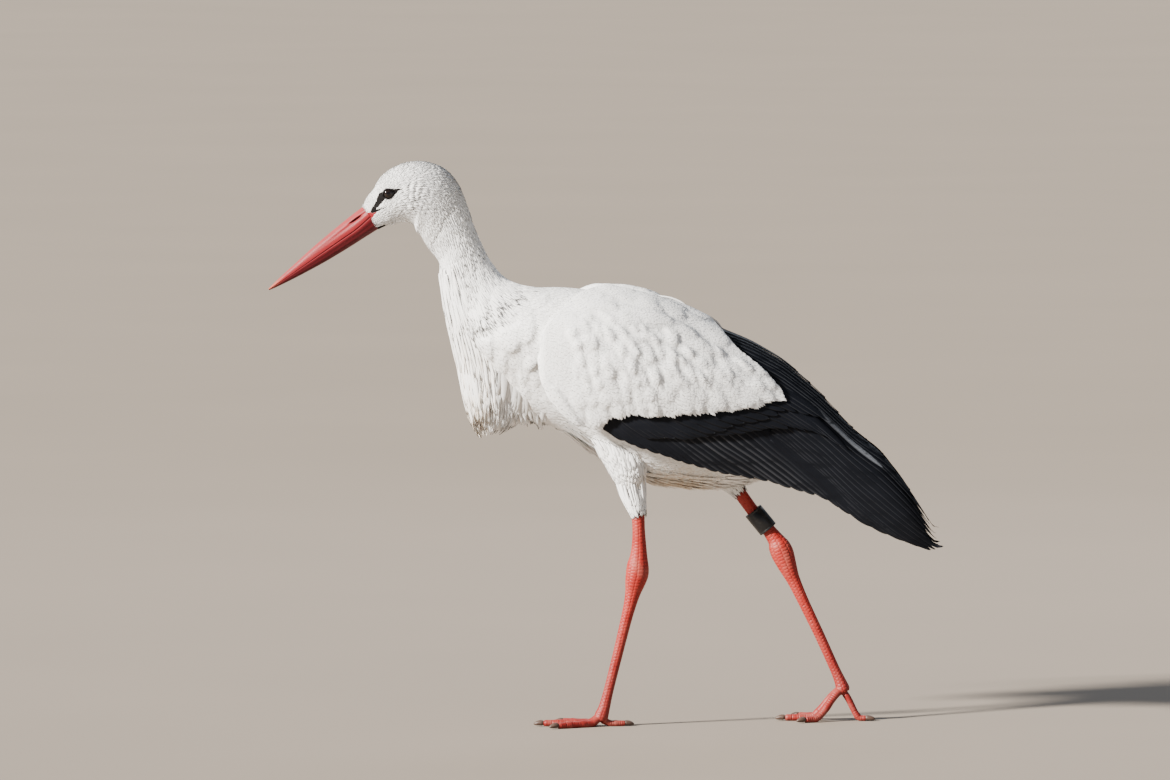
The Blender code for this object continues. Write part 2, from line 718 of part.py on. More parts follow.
def make_coverts(side, torso, white):
    """The white coverts and scapulars of one folded wing, on their core."""
    name = f"wing_{SIDE_NAMES[side]}"
    core = wing_sheet(name, COVERT_CORE, COVERT_OUTER, COVERT_INNER, side, white, 10, 6)
    cut_clear(core, [torso])
    vanes = []
    for tip_x, upper, lower, count in COVERT_TIERS:
        for k in range(count):
            angle = upper + (lower - upper) * k / max(count - 1, 1)
            tip = (tip_x + 5 * (k % 2), angle)
            root = (tip_x - COVERT["long"], angle + COVERT["fall"])
            vanes.append(wing_vane(root, tip, COVERT["wide"], COVERT["root"], COVERT["tip"], side, white, 0.05, COVERT_SHAPE))
    for root, tip in SCAPULARS:
        vanes.append(wing_vane(root, tip, 30, COVERT["root"], COVERT["tip"] + 0.6, side, white, 0.03, COVERT_SHAPE))
    return boolean(core, vanes, "UNION", UNION_SOLVER)


def make_neck_lower(cream, torso):
    """The base of the neck, with the long breast feathers that hang from it."""
    neck = body_piece("neck_lower", NECK_HALF, NECK_ENDS, 1.75, 18, cream)
    locks = []
    for station, spread, count, tip_x, tip_z in RUFF:
        for k in range(count):
            share = 2 * k / (count - 1) - 1
            turn = 180 + share * spread
            root = body_point(station, turn, -4)
            bulge = body_point(station + 0.9, turn, 17)
            side_way = share * 42
            tip = np.array([tip_x + 34 * share * share, side_way, tip_z + 46 * share * share + 5 * (k % 2)])
            flat = body_point(station, turn + 3) - body_point(station, turn - 3)
            locks.append(lock(bend(root, bulge, tip, 5), flat, 23, 5, cream))
    boolean(neck, locks, "UNION", UNION_SOLVER)
    cut_clear(neck, [torso])


def make_torso(white):
    """The body, with feathers along its underside."""
    torso = body_piece("torso", NECK_ENDS, TORSO_ENDS, 1.34, 18, white)
    smooth = grown(torso, 0)
    locks = []
    for station, spread, count in BELLY_LOCKS:
        for k in range(count):
            turn = 180 + spread * (2 * k / max(count - 1, 1) - 1)
            root = body_point(station, turn, -3)
            over = body_point(station + 0.75, turn, 4)
            tip = body_point(station + 1.35, turn, 5.5)
            locks.append(lock(bend(root, over, tip, 4), np.array([0, 1.0, 0]), 26, 4, white))
    boolean(torso, locks, "UNION", UNION_SOLVER)
    return torso, smooth


def make_tail(white):
    """The tail's root, and its feathers stacked from the outermost up to the middle one."""
    tail = body_piece("tail", TORSO_ENDS, TAIL_CORE_ENDS, 1, 12, white)
    vanes = []
    for spread, over in TAIL_FEATHERS:
        for side in (LEFT, RIGHT):
            y = side * spread
            root = np.array([300, 0.5 * y, 373 + over])
            tip = np.array([398 + 0.5 * over, y, 288 + over])
            ahead = unit(tip - root)
            across = np.array([0, 1.0, 0])
            out = unit(np.cross(ahead, across))
            out = out if out[2] > 0 else -out
            outer, inner = [], []
            for along, width, _, thick in FLIGHT_SHAPE:
                centre = root + (tip - root) * along
                line = [centre + across * c * width * 11 + out * (0.9 if c == 0 else 0.03 * side * c) for c in (-1, 0, 1)]
                outer.append(line)
                inner.append([p - out * thick for p in line])
            vanes.append(slab("vane", outer, inner, white))
    return boolean(tail, vanes, "UNION", UNION_SOLVER)


def main():
    for obj in list(bpy.data.objects):
        bpy.data.objects.remove(obj)
    white = material("white_feather", WHITE, 0.75)
    cream = material("cream_feather", CREAM, 0.75)
    black = material("black_feather", BLACK, 0.45)
    red = material("red_skin", RED, 0.5)
    bill_red = material("bill_horn", BILL_RED, 0.35)
    dark = material("black_gloss", DARK, 0.2)
    make_head(white, dark)
    make_bill(bill_red)
    body_piece("neck_upper", HEAD_ENDS, NECK_HALF, 1.6, 18, white)
    torso, smooth = make_torso(white)
    make_neck_lower(cream, smooth)
    make_tail(white)
    for side, table in ((LEFT, LEG_LEFT), (RIGHT, LEG_RIGHT)):
        make_flight(side, smooth, black)
        make_coverts(side, smooth, white)
        make_leg(side, table, white, red, dark, torso, smooth)
    remove(smooth)
    make_leg_ring(dark)
    stand_on_origin()


def stand_on_origin():
    """Moves every node so that the middle of the box's underside is the origin."""
    corners = np.array([v.co for obj in bpy.data.objects for v in obj.data.vertices])
    low, high = corners.min(0), corners.max(0)
    shift = Vector((-(low[0] + high[0]) / 2, -(low[1] + high[1]) / 2, -low[2]))
    for obj in bpy.data.objects:
        obj.data.transform(Matrix.Translation(shift))


main()
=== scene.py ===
"""White stork at a walk: skin, feathers, horn and scales built round its solids.

The bird faces -X, its left side is -Y and +Z is up. Sizes in the tables are millimetres, as in the source
of the solids.
"""

import math

import bpy
import numpy as np
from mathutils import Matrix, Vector
from mathutils.kdtree import KDTree


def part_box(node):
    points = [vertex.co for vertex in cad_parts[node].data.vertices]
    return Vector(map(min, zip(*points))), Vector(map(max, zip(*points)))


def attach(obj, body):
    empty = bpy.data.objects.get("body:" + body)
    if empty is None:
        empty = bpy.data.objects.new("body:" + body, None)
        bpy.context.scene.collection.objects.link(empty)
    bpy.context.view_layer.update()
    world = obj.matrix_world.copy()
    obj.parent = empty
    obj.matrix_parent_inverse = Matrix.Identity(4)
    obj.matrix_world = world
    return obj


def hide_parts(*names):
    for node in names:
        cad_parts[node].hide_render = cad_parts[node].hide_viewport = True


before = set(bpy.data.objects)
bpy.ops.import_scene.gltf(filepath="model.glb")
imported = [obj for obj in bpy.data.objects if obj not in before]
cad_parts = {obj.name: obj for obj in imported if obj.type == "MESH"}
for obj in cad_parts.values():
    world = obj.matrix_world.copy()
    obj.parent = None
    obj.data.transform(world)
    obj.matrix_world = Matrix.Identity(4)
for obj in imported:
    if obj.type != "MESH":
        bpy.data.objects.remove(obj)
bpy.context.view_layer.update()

MM = 0.001
LEFT, RIGHT = -1, 1
SIDE_NAMES = {LEFT: "left", RIGHT: "right"}

# Outline of head, neck, body and tail: x and z on the back, x and z on the underside, half width.
BODY = [
    (-315, 687, -293, 655, 14),
    (-310, 698, -285, 658, 18.5),
    (-302, 708, -277, 660, 22.5),
    (-293, 723, -269, 662, 25.5),
    (-280, 734, -261, 663, 27.5),
    (-263, 742, -255, 662, 29),
    (-244, 745, -249, 659, 30),
    (-227, 743, -246, 654, 30),
    (-211, 737, -241, 648, 29.5),
    (-198, 726, -236, 640, 28.5),
    (-187, 710, -230, 630, 27.5),
    (-178, 689, -223, 620, 27),
    (-170, 667, -217, 609, 27),
    (-160, 643, -214, 590, 28.5),
    (-147, 618, -211, 569, 32),
    (-129, 596, -203, 544, 39),
    (-108, 585, -193, 513, 50),
    (-84, 581, -178, 484, 62),
    (-59, 582, -156, 451, 74),
    (-33, 581, -122, 417, 84),
    (-7, 578, -82, 396, 89),
    (20, 572, -40, 376, 91),
    (50, 565, 4, 346, 90),
    (82, 553, 53, 320, 86),
    (119, 535, 106, 312, 79),
    (156, 515, 158, 311, 69),
    (193, 490, 205, 321, 57),
    (228, 463, 248, 339, 44),
    (261, 440, 281, 334, 36),
    (290, 414, 312, 325, 33),
    (330, 374, 340, 352, 25),
    (352, 354, 358, 342, 20),
]
# How much slimmer the body is towards its underside, as a share of its half width.
KEEL = 0.12
# Stations, counted in rows of the table, where head, neck and tail end.
HEAD_ENDS, NECK_ENDS, TAIL_ENDS = 9, 18, 31

# Envelope of the folded wings: x, top, widest height and lower edge, and half width.
WINGS = [
    (-102, 585, 519, 427, 84),
    (-82, 581, 512, 415, 95),
    (-55, 584, 503, 402, 104),
    (-22, 589, 493, 393, 110),
    (5, 590, 482, 387, 112.5),
    (30, 587, 472, 375, 113),
    (67, 579, 454, 362, 111),
    (112, 559, 441, 346, 105),
    (157, 537, 430, 333, 96),
    (199, 517, 421, 325, 86),
    (242, 490, 410, 313, 76),
    (288, 449, 384, 299, 67),
    (334, 400, 346, 271, 58),
    (374, 372, 315, 251, 50),
    (409, 326, 284, 236, 40),
    (441, 271, 248, 224, 26),
]
# How far the lower edge of a wing is tucked in, as a share of its half width.
WING_TUCK = 0.2
# The white part of a wing: x, and the angles of its upper and lower edges round the envelope.
WHITE_LEAF = [
    (-91, 1, -14),
    (-84, 20, -39),
    (-74, 37, -59),
    (-58, 53, -76),
    (-36, 74, -85),
    (-3, 87, -89),
    (11, 91, -69),
    (40, 91, -53),
    (77, 91, -40),
    (114, 91, -26),
    (150, 84, -16),
    (164, 64, -10),
    (188, 50, -3),
    (214, 42, 5),
    (236, 31, 14),
    (244, 23, 19),
]
# The bed under the black feathers: the same.
BLACK_LEAF = [
    (-22, -62, -84),
    (14, -30, -84),
    (40, 20, -84),
    (77, 60, -82),
    (112, 78, -80),
    (157, 80, -76),
    (200, 78, -70),
    (242, 70, -60),
    (285, 56, -42),
    (312, 40, -22),
]

# Bill, from its base: distance along it, height of culmen, mouth line and underside, half width.
BILL_BASE, BILL_TIP = (-303.6, 670.6), (-440, 575)
BILL = [
    (0.6, 18, 2.0, -17.5, 13.5),
    (25, 17, -1.0, -16.3, 12),
    (50, 15.2, -1.0, -15.2, 10.2),
    (84, 12.2, -0.8, -12.8, 8),
    (119, 7.8, -0.6, -8.8, 5.6),
    (143, 4.7, -0.4, -5.4, 3.8),
    (160, 2.1, -0.2, -2.5, 2.0),
    (166.5, 0.9, 0.0, -1.0, 0.9),
]
NOSTRIL = {"along": 19, "height": 10.2, "long": 18.5, "high": 2.4, "deep": 2.6}
EYE = {"x": -281.6, "z": 702.7, "y": 19.8, "radius": 8.2}

# Legs from the body down: x, z, y, half depth and half width.
LEGS = {
    LEFT: {
        "thigh": [
            (15, 400, -34, 40, 20), (26, 368, -36, 34, 20), (34, 340, -40, 27, 18), (38, 318, -42, 20, 15),
            (43, 300, -43, 13.5, 12), (47, 284, -43, 10, 9.6),
        ],
        "bare": [
            (45, 294, -43, 8.0, 7.6), (47, 284, -43, 8.4, 8), (48, 261, -43, 8.2, 7.8),
            (48.5, 241, -42, 9.4, 8.2), (48, 225, -42, 11.6, 9.4), (47, 214, -42, 14.2, 11.5),
            (46, 202, -42, 15, 12), (43, 189, -41.5, 13, 10.6), (40.5, 178, -41, 10.4, 8.2),
            (37, 163, -41, 8.4, 6.8), (31, 139, -40.5, 7.2, 6), (21, 98, -39.5, 6.5, 5.4),
            (9, 50, -38.5, 6.4, 5.4), (3, 26, -38, 7.4, 6.6), (-1, 14, -38, 9, 9), (-3, 8, -38, 7, 7.5),
        ],
    },
    RIGHT: {
        "thigh": [
            (106, 392, 32, 38, 16), (128, 366, 34, 30, 15), (150, 341, 39, 22, 14), (166, 324, 42, 15, 13),
            (180, 306, 43, 10, 9.6),
        ],
        "bare": [
            (173, 316, 43, 8.0, 7.6), (180, 306, 43, 8.4, 8), (198, 281, 43, 8.2, 8),
            (216, 259, 43, 8.4, 8.2), (229, 242, 42.5, 10.6, 9.1), (234, 233, 42, 14, 11.5),
            (239, 222, 42, 15, 12), (245, 207, 41.5, 12.6, 10.4), (250, 195, 41, 10.2, 8.2),
            (255, 184, 41, 8.6, 6.8), (267, 158, 40.5, 7.2, 6), (288, 114, 39.5, 6.5, 5.4),
            (307, 72, 38.5, 6.4, 5.4), (315, 54, 38, 7.4, 6.6), (319, 43, 38, 9, 9), (321, 38, 38, 7, 7.5),
        ],
    },
}
# Toes: name, way out from straight ahead in degrees, length, and radius at root and end.
TOES = [
    ("middle", 0, 78, 6.2, 4.6),
    ("inner", 30, 60, 5.8, 4.4),
    ("outer", -30, 68, 5.8, 4.4),
    ("hind", 172, 32, 5.0, 4.0),
]
CLAW_LONG = 11
# The marking ring: x and z of its middle, y, outer and inner radius and height.
RING = {"at": (210, 266.5), "y": 43, "outer": 13, "inner": 10.6, "high": 32}

# From the tables' places to the shared frame, measured at the left eye.
eye_low, eye_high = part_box("eye_left")
SHIFT = np.array((eye_low + eye_high) / 2) - np.array([EYE["x"], LEFT * EYE["y"], EYE["z"]]) * MM


# Shapes worked out on whole arrays of places

def unit(vectors):
    vectors = np.asarray(vectors, float)
    return vectors / np.maximum(np.linalg.norm(vectors, axis=-1, keepdims=True), 1e-9)


def smoothstep(value, low, high):
    share = np.clip((value - low) / (high - low), 0, 1)
    return share * share * (3 - 2 * share)


def alike(*values):
    """Numbers and arrays as arrays of one shape."""
    return np.broadcast_arrays(*(np.asarray(value, float) for value in values))


def circle(count):
    """Even turns all round, in radians."""
    return np.arange(count) * 2 * math.pi / count


def lengths_of(line):
    """The way along a line of points to each of them."""
    return np.concatenate([[0], np.cumsum(np.linalg.norm(np.diff(line, axis=0), axis=1))])


def mound(x, z, middle, wide, high):
    """1 at a middle seen from the side, softly falling to 0 round it."""
    return np.exp(-(((x - middle[0]) / wide) ** 2 + ((z - middle[1]) / high) ** 2))


def nearest(points, known):
    """Which of the known points is nearest to each point."""
    tree = KDTree(len(known))
    for number, point in enumerate(known):
        tree.insert(point, number)
    tree.balance()
    return np.array([tree.find(point)[1] for point in points])


def swell(x, z, wave, seed):
    """Smooth chance waves over places seen from the side, mostly between -1 and 1."""
    chance = np.random.default_rng(seed)
    total = 0
    for _ in range(9):
        heading, shift = chance.uniform(0, 2 * math.pi, 2)
        length = wave * chance.uniform(0.7, 1.5)
        along = x * math.cos(heading) + z * math.sin(heading)
        total = total + np.sin(along * 2 * math.pi / length + shift)
    return total / 4


def at(rows, s):
    """Rows of a table at stations s, on smooth curves through its rows."""
    rows = np.asarray(rows, float)
    s = np.asarray(s, float)
    i = np.clip(np.floor(s).astype(int), 0, len(rows) - 2)
    t = (s - i)[..., None]
    before, after = rows[np.maximum(i - 1, 0)], rows[np.minimum(i + 2, len(rows) - 1)]
    a, b = rows[i], rows[i + 1]
    return (
        a * (2 * t**3 - 3 * t**2 + 1)
        + (b - before) / 2 * (t**3 - 2 * t**2 + t)
        + b * (3 * t**2 - 2 * t**3)
        + (after - a) / 2 * (t**3 - t**2)
    )


def body(s, turn, out=0.0):
    """Points of the body at stations and at turns in degrees from the back, moved out."""
    s, turn, out = alike(s, turn, out)
    back_x, back_z, under_x, under_z, half = np.moveaxis(at(BODY, s), -1, 0)
    up_x, up_z = (back_x - under_x) / 2, (back_z - under_z) / 2
    turn = np.radians(turn)
    slim = KEEL * np.clip((s - NECK_ENDS) / 2, 0, 1) * np.maximum(-np.cos(turn), 0)
    reach = (1 + out / np.hypot(up_x, up_z)) * np.cos(turn)
    x = (back_x + under_x) / 2 + up_x * reach
    z = (back_z + under_z) / 2 + up_z * reach
    return np.stack([x, (half * (1 - slim) + out) * np.sin(turn), z], -1)


def smooth_rows(rows, step, blur):
    """A table read at even steps of its first column, with its corners rounded."""
    rows = np.asarray(rows, float)
    x = np.arange(rows[0, 0], rows[-1, 0] + step, step)
    weights = np.hanning(2 * blur + 3)[1:-1]
    weights /= weights.sum()
    columns = [x]
    for column in rows.T[1:]:
        line = np.interp(x, rows[:, 0], column)
        ahead = 2 * line[0] - line[blur:0:-1]
        behind = 2 * line[-1] - line[-2:-blur - 2:-1]
        columns.append(np.convolve(np.concatenate([ahead, line, behind]), weights, "valid"))
    return np.array(columns).T


WING_ROWS = smooth_rows(WINGS, step=3.0, blur=5)


def rise(x):
    """Behind the body the flight feathers come out towards the envelope."""
    return 4.5 * np.clip((np.asarray(x) - 243) / 150, 0, 1)


def envelope(x, angle):
    """Points of the folded wing at x and at angles: 0 where it is widest, 90 at the top, -90 at the bottom."""
    top, middle, lower, half = (np.interp(x, WING_ROWS[:, 0], WING_ROWS[:, k]) for k in range(1, 5))
    turn = np.radians(np.maximum(angle, 0))
    down = np.maximum(-angle, 0) / 90
    y = half * np.cos(turn) * (1 - WING_TUCK * down * down)
    z = middle + (top - middle) * np.sin(turn) - (middle - lower) * down
    return np.stack([x, y, z], -1)


def wing(side):
    """The wing surface of one side: points at x and angle, moved out by a height."""
    def point(x, angle, height=0.0):
        x, angle, height = alike(x, angle, height)
        along = envelope(x + 3, angle) - envelope(x - 3, angle)
        across = envelope(x, angle + 2) - envelope(x, angle - 2)
        out = unit(np.cross(along, across))
        out = out * np.where(out[..., 1] + 0.3 * out[..., 2] < 0, -1, 1)[..., None]
        made = envelope(x, angle) + out * height[..., None]
        made[..., 1] = side * np.maximum(made[..., 1], 0.4)
        return made
    return point


def limb(rows):
    """The surface round a leg: points at stations along it and at turns from its front, moved out."""
    def point(s, turn, out=0.0):
        s, turn, out = alike(s, turn, out)
        x, z, y, depth, width = np.moveaxis(at(rows, s), -1, 0)
        before = at(rows, np.clip(s - 0.25, 0, len(rows) - 1))
        after = at(rows, np.clip(s + 0.25, 0, len(rows) - 1))
        ahead = unit((after - before)[..., :2])
        turn = np.radians(turn)
        fore = (depth + out) * np.cos(turn)
        side = (width + out) * np.sin(turn)
        return np.stack([x + ahead[..., 1] * fore, y + side, z - ahead[..., 0] * fore], -1)
    return point


# Meshes

def link(data, name):
    made = bpy.data.objects.new(name, data)
    bpy.context.scene.collection.objects.link(made)
    return made


def remove(obj):
    mesh = obj.data
    bpy.data.objects.remove(obj)
    bpy.data.meshes.remove(mesh)


def add_values(mesh, values):
    """Named values at the points of a mesh: numbers or vectors."""
    for name, data in values.items():
        data = np.ascontiguousarray(data, np.float32)
        kind, key = ("FLOAT_VECTOR", "vector") if data.ndim == 2 else ("FLOAT", "value")
        held = mesh.attributes.get(name) or mesh.attributes.new(name, kind, "POINT")
        held.data.foreach_set(key, data.ravel())


def outward(points, faces):
    """The quads of closed bodies, turned so that their fronts face out."""
    a, b, c, d = (points[faces[:, k]] for k in range(4))
    volume = (np.cross(b - a, c - a) * a).sum() + (np.cross(c - a, d - a) * a).sum()
    return faces if volume > 0 else faces[:, ::-1]


def mesh_of(name, points, faces, look=None, values=None):
    """An object from points in the tables' millimetres and quads."""
    mesh = bpy.data.meshes.new(name)
    points = (np.asarray(points, float) * MM + SHIFT).astype(np.float32)
    faces = np.asarray(faces, np.int32)
    mesh.vertices.add(len(points))
    mesh.vertices.foreach_set("co", points.ravel())
    mesh.loops.add(faces.size)
    mesh.loops.foreach_set("vertex_index", faces.ravel())
    mesh.polygons.add(len(faces))
    mesh.polygons.foreach_set("loop_start", np.arange(0, faces.size, faces.shape[1], dtype=np.int32))
    mesh.update(calc_edges=True)
    mesh.validate()
    mesh.shade_smooth()
    if values:
        add_values(mesh, values)
    if look:
        mesh.materials.append(look)
    return link(mesh, name)


def points_of(obj):
    """The object's points in the tables' millimetres."""
    flat = np.zeros(len(obj.data.vertices) * 3, np.float32)
    obj.data.vertices.foreach_get("co", flat)
    return (flat.reshape(-1, 3).astype(float) - SHIFT) / MM


def normals_of(obj):
    flat = np.zeros(len(obj.data.vertices) * 3, np.float32)
    obj.data.vertex_normals.foreach_get("vector", flat)
    return flat.reshape(-1, 3).astype(float)


def move_points(obj, points):
    obj.data.vertices.foreach_set("co", (points * MM + SHIFT).astype(np.float32).ravel())
    obj.data.update()


def values_of(mesh, name, width=1):
    held = mesh.attributes[name]
    flat = np.zeros(len(mesh.vertices) * width, np.float32)
    held.data.foreach_get("vector" if width == 3 else "value", flat)
    return flat.reshape(-1, width) if width == 3 else flat


def dress(mesh, look):
    mesh.materials.clear()
    mesh.materials.append(look)
    mesh.shade_smooth()


def corners_of(mesh):
    """The point at each corner of the faces."""
    corners = np.zeros(len(mesh.loops), np.int32)
    mesh.loops.foreach_get("vertex_index", corners)
    return corners


def tube_faces(rings, sides, is_loop=False):
    """Quads of a tube of rings; a loop's last ring meets its first."""
    r, k = np.meshgrid(np.arange(rings if is_loop else rings - 1), np.arange(sides), indexing="ij")
    after, r_after = (k + 1) % sides, (r + 1) % rings
    quads = np.stack([r * sides + k, r * sides + after, r_after * sides + after, r_after * sides + k], -1)
    return quads.reshape(-1, 4)


def closed_tube(name, grid, look=None):
    """A closed body from a grid of points, rings by sides, with a small quad fan at each end."""
    rings, sides = grid.shape[:2]
    small = 0.02
    inner = [ring * small + ring.mean(0) * (1 - small) for ring in (grid[0], grid[-1])]
    points = np.concatenate([inner[:1], grid, inner[1:]]).reshape(-1, 3)
    faces = tube_faces(rings + 2, sides)
    half = sides // 2
    caps = []
    for first in (0, (rings + 1) * sides):
        for k in range(half - 1):
            caps.append([first + k, first + k + 1, first + sides - 2 - k, first + sides - 1 - k])
    caps = np.array(caps)
    caps[: half - 1] = caps[: half - 1, ::-1]
    return mesh_of(name, points, outward(points, np.concatenate([faces, caps])), look)


def evaluated(obj):
    """The object's mesh with its modifiers applied; the modifiers are removed."""
    bpy.context.view_layer.update()
    graph = bpy.context.evaluated_depsgraph_get()
    mesh = bpy.data.meshes.new_from_object(obj.evaluated_get(graph))
    obj.modifiers.clear()
    old = obj.data
    obj.data = mesh
    bpy.data.meshes.remove(old)
    return obj


def union(obj, others):
    """Adds the others to the object as one closed body."""
    tools = bpy.data.collections.new("tools")
    for other in others:
        tools.objects.link(other)
    change = obj.modifiers.new("union", "BOOLEAN")
    change.operand_type = "COLLECTION"
    change.collection = tools
    change.operation = "UNION"
    change.solver = "MANIFOLD"
    evaluated(obj)
    bpy.data.collections.remove(tools)
    for other in others:
        remove(other)


def remeshed(obj, others, voxel):
    """The object and the others as one skin of even small faces, without seams."""
    name, points, faces, start = obj.name, [], [], 0
    for one in [obj, *others]:
        points.append(points_of(one))
        faces.append(corners_of(one.data).reshape(-1, 4) + start)
        start += len(points[-1])
        remove(one)
    made = mesh_of(name, np.concatenate(points), np.concatenate(faces))
    change = made.modifiers.new("remesh", "REMESH")
    change.mode = "VOXEL"
    change.voxel_size = voxel * MM
    change.use_smooth_shade = True
    return evaluated(made)


# Vanes: leaf shapes of two sheets that share their rim, laid in thousands

def leaf(rows, columns):
    """Places along and across a leaf, which points are its lower sheet's, and its quads.

    Quads above each other start at the same corner, so both sheets are split along the same diagonals and
    the lower one never shows through the upper.
    """
    along = np.repeat(np.asarray(rows, float), columns)
    across = np.tile(np.linspace(-1, 1, columns), len(rows))
    count = len(rows) * columns
    upper = np.arange(count).reshape(len(rows), columns)
    lower = upper.copy()
    inside = upper[1:-1, 1:-1].ravel()
    lower[1:-1, 1:-1] = count + np.arange(len(inside)).reshape(len(rows) - 2, columns - 2)
    quads = []
    for sheet, order in ((upper, (0, 1, 2, 3)), (lower, (0, 3, 2, 1))):
        a, b, c, d = sheet[:-1, :-1], sheet[1:, :-1], sheet[1:, 1:], sheet[:-1, 1:]
        quads.append(np.stack([(a, b, c, d)[k] for k in order], -1).reshape(-1, 4))
    along = np.concatenate([along, along[inside]])
    across = np.concatenate([across, across[inside]])
    is_lower = np.concatenate([np.zeros(count), np.ones(len(inside))])
    return along, across, is_lower, np.concatenate(quads)


def flight_leaf(u):
    """Half width along a long wing feather."""
    end = np.clip((u - 0.86) / 0.14, 0, 1)
    return (0.62 + 0.38 * smoothstep(u, 0, 0.35) - 0.1 * u) * np.sqrt(np.maximum(1 - end**2.1, 0.02))


def lance_leaf(u):
    """Half width along a long pointed breast feather."""
    return (0.55 + 0.45 * smoothstep(u, 0, 0.25)) * np.maximum(1 - u**1.7, 0.03) ** 0.8


def soft_leaf(u):
    """Half width along a small soft vane."""
    end = np.clip((u - 0.55) / 0.45, 0, 1)
    return (0.5 + 0.5 * smoothstep(u, 0, 0.5)) * np.sqrt(np.maximum(1 - end**2, 0.03))


def copies(quads, count, size):
    """Faces of count copies of one leaf of size points."""
    return (quads[None] + (np.arange(count) * size)[:, None, None]).reshape(-1, 4)


def leaf_places(v, u, count, rng):
    """For each point of count leaves its place across and along, and a chance number of its leaf."""
    chance = np.repeat(rng.uniform(0, 1, (count, 1)), len(u), 1)
    return np.stack(alike(v, u, chance), -1).reshape(-1, 3)


def steps_on(surface, p, q, way, probe=(1.0, 1.0)):
    """Changes of p and q that move one millimetre on a surface along a way in space, and one across it."""
    here = surface(p, q, 0)
    step_p = (surface(p + probe[0], q, 0) - here) / probe[0]
    step_q = (surface(p, q + probe[1], 0) - here) / probe[1]
    pp, qq, pq = (step_p**2).sum(-1), (step_q**2).sum(-1), (step_p * step_q).sum(-1)
    area = np.maximum(pp * qq - pq**2, 1e-9)
    on_p, on_q = (step_p * way).sum(-1), (step_q * way).sum(-1)
    ahead = np.stack([qq * on_p - pq * on_q, pp * on_q - pq * on_p]) / area
    ahead = ahead / np.sqrt(ahead[0]**2 * pp + ahead[1]**2 * qq + 2 * ahead[0] * ahead[1] * pq)
    across = np.stack([-(pq * ahead[0] + qq * ahead[1]), pp * ahead[0] + pq * ahead[1]]) / np.sqrt(area)
    return ahead, across


def scatter(surface, p_ends, q_ends, gap, rng):
    """Places about a gap apart all over a surface, between ends of p and of q."""
    share = np.linspace(0, 1, 300)
    p = p_ends[0] + (p_ends[1] - p_ends[0]) * share
    q = q_ends[0] + (q_ends[1] - q_ends[0]) * share
    spine = surface(p, np.full(300, (q_ends[0] + q_ends[1]) / 2), 0)
    length = lengths_of(spine)
    places = []
    for row in np.interp(np.arange(0, length[-1], gap), length, p):
        around = lengths_of(surface(np.full(300, row), q, 0))
        along = np.arange(rng.uniform(0, gap), around[-1], gap)
        along = along + rng.uniform(-0.45, 0.45, len(along)) * gap
        places.append(np.stack([np.full(len(along), row), np.interp(along, around, q)], -1))
    p, q = np.concatenate(places).T
    return p + rng.uniform(-0.45, 0.45, len(p)) * gap * (p_ends[1] - p_ends[0]) / length[-1], q


def silk(surface, p, q, way, long, wide, rng, probe=(1.0, 1.0), lifted=0.08):
    """Small soft vanes that end at the given places and follow a surface closely."""
    ahead, across = steps_on(surface, p, q, way, probe)
    roots = (p - ahead[0] * long, q - ahead[1] * long)
    return lay(surface, soft_leaf, roots, (p, q), across, wide, (-0.55, 0.15), rng, [0, 0.35, 0.75, 1.0], 3,
               camber=0.05, thick=0.35, fray=0.0, lifted=lifted, probe=probe)


def lay(surface, shape, roots, tips, across, wide, heights, rng, rows, columns, camber, thick, fray,
        tilt=0.0, lifted=0.0, probe=None):
    """Vanes on a surface from their roots to their tips, each bowed, with uneven ends.

    With a probe, the two steps over the surface to measure it by, the surface's own facing is told too.
    """
    u, v, is_lower, quads = leaf(rows, columns)
    count = len(wide)
    one = (count, 1)
    column = np.tile(np.arange(columns), len(rows))
    inside = np.arange(len(rows) * columns).reshape(len(rows), columns)[1:-1, 1:-1].ravel()
    column = np.concatenate([column, column[inside]])
    uneven = rng.uniform(-1, 0.3, (count, columns))[:, column] * fray
    reach = u + uneven * smoothstep(u, 0.62, 1.0)
    half = shape(u) * v * (wide / 2)[:, None]
    p = roots[0][:, None] + (tips[0] - roots[0])[:, None] * reach + across[0][:, None] * half
    q = roots[1][:, None] + (tips[1] - roots[1])[:, None] * reach + across[1][:, None] * half
    bowed = 1 - v**2
    height = heights[0] + (heights[1] - heights[0]) * smoothstep(u, -0.15, 0.95)
    height = height + camber * bowed * (0.4 + 0.6 * smoothstep(u, 0, 0.5)) - tilt * v * (wide / 2)[:, None]
    height = height + lifted * rng.uniform(-0.4, 1, one) * smoothstep(u, 0.3, 1)
    height = height - 0.35 * thick * smoothstep(u, 0.9, 1) - is_lower * thick * (0.35 + 0.65 * bowed)
    points = surface(p, q, height).reshape(-1, 3)
    made = [points, copies(quads, count, len(u)), leaf_places(v, u, count, rng),
            np.repeat(np.stack(roots, -1), len(u), 0)]
    if probe:
        facing = np.cross(surface(p + probe[0], q) - surface(p - probe[0], q),
                          surface(p, q + probe[1]) - surface(p, q - probe[1]))
        out = surface(p, q, 1.0) - surface(p, q)
        facing = unit(facing) * np.sign((facing * out).sum(-1, keepdims=True))
        made.append((facing * (1 - is_lower)[None, :, None]).reshape(-1, 3))
    return made


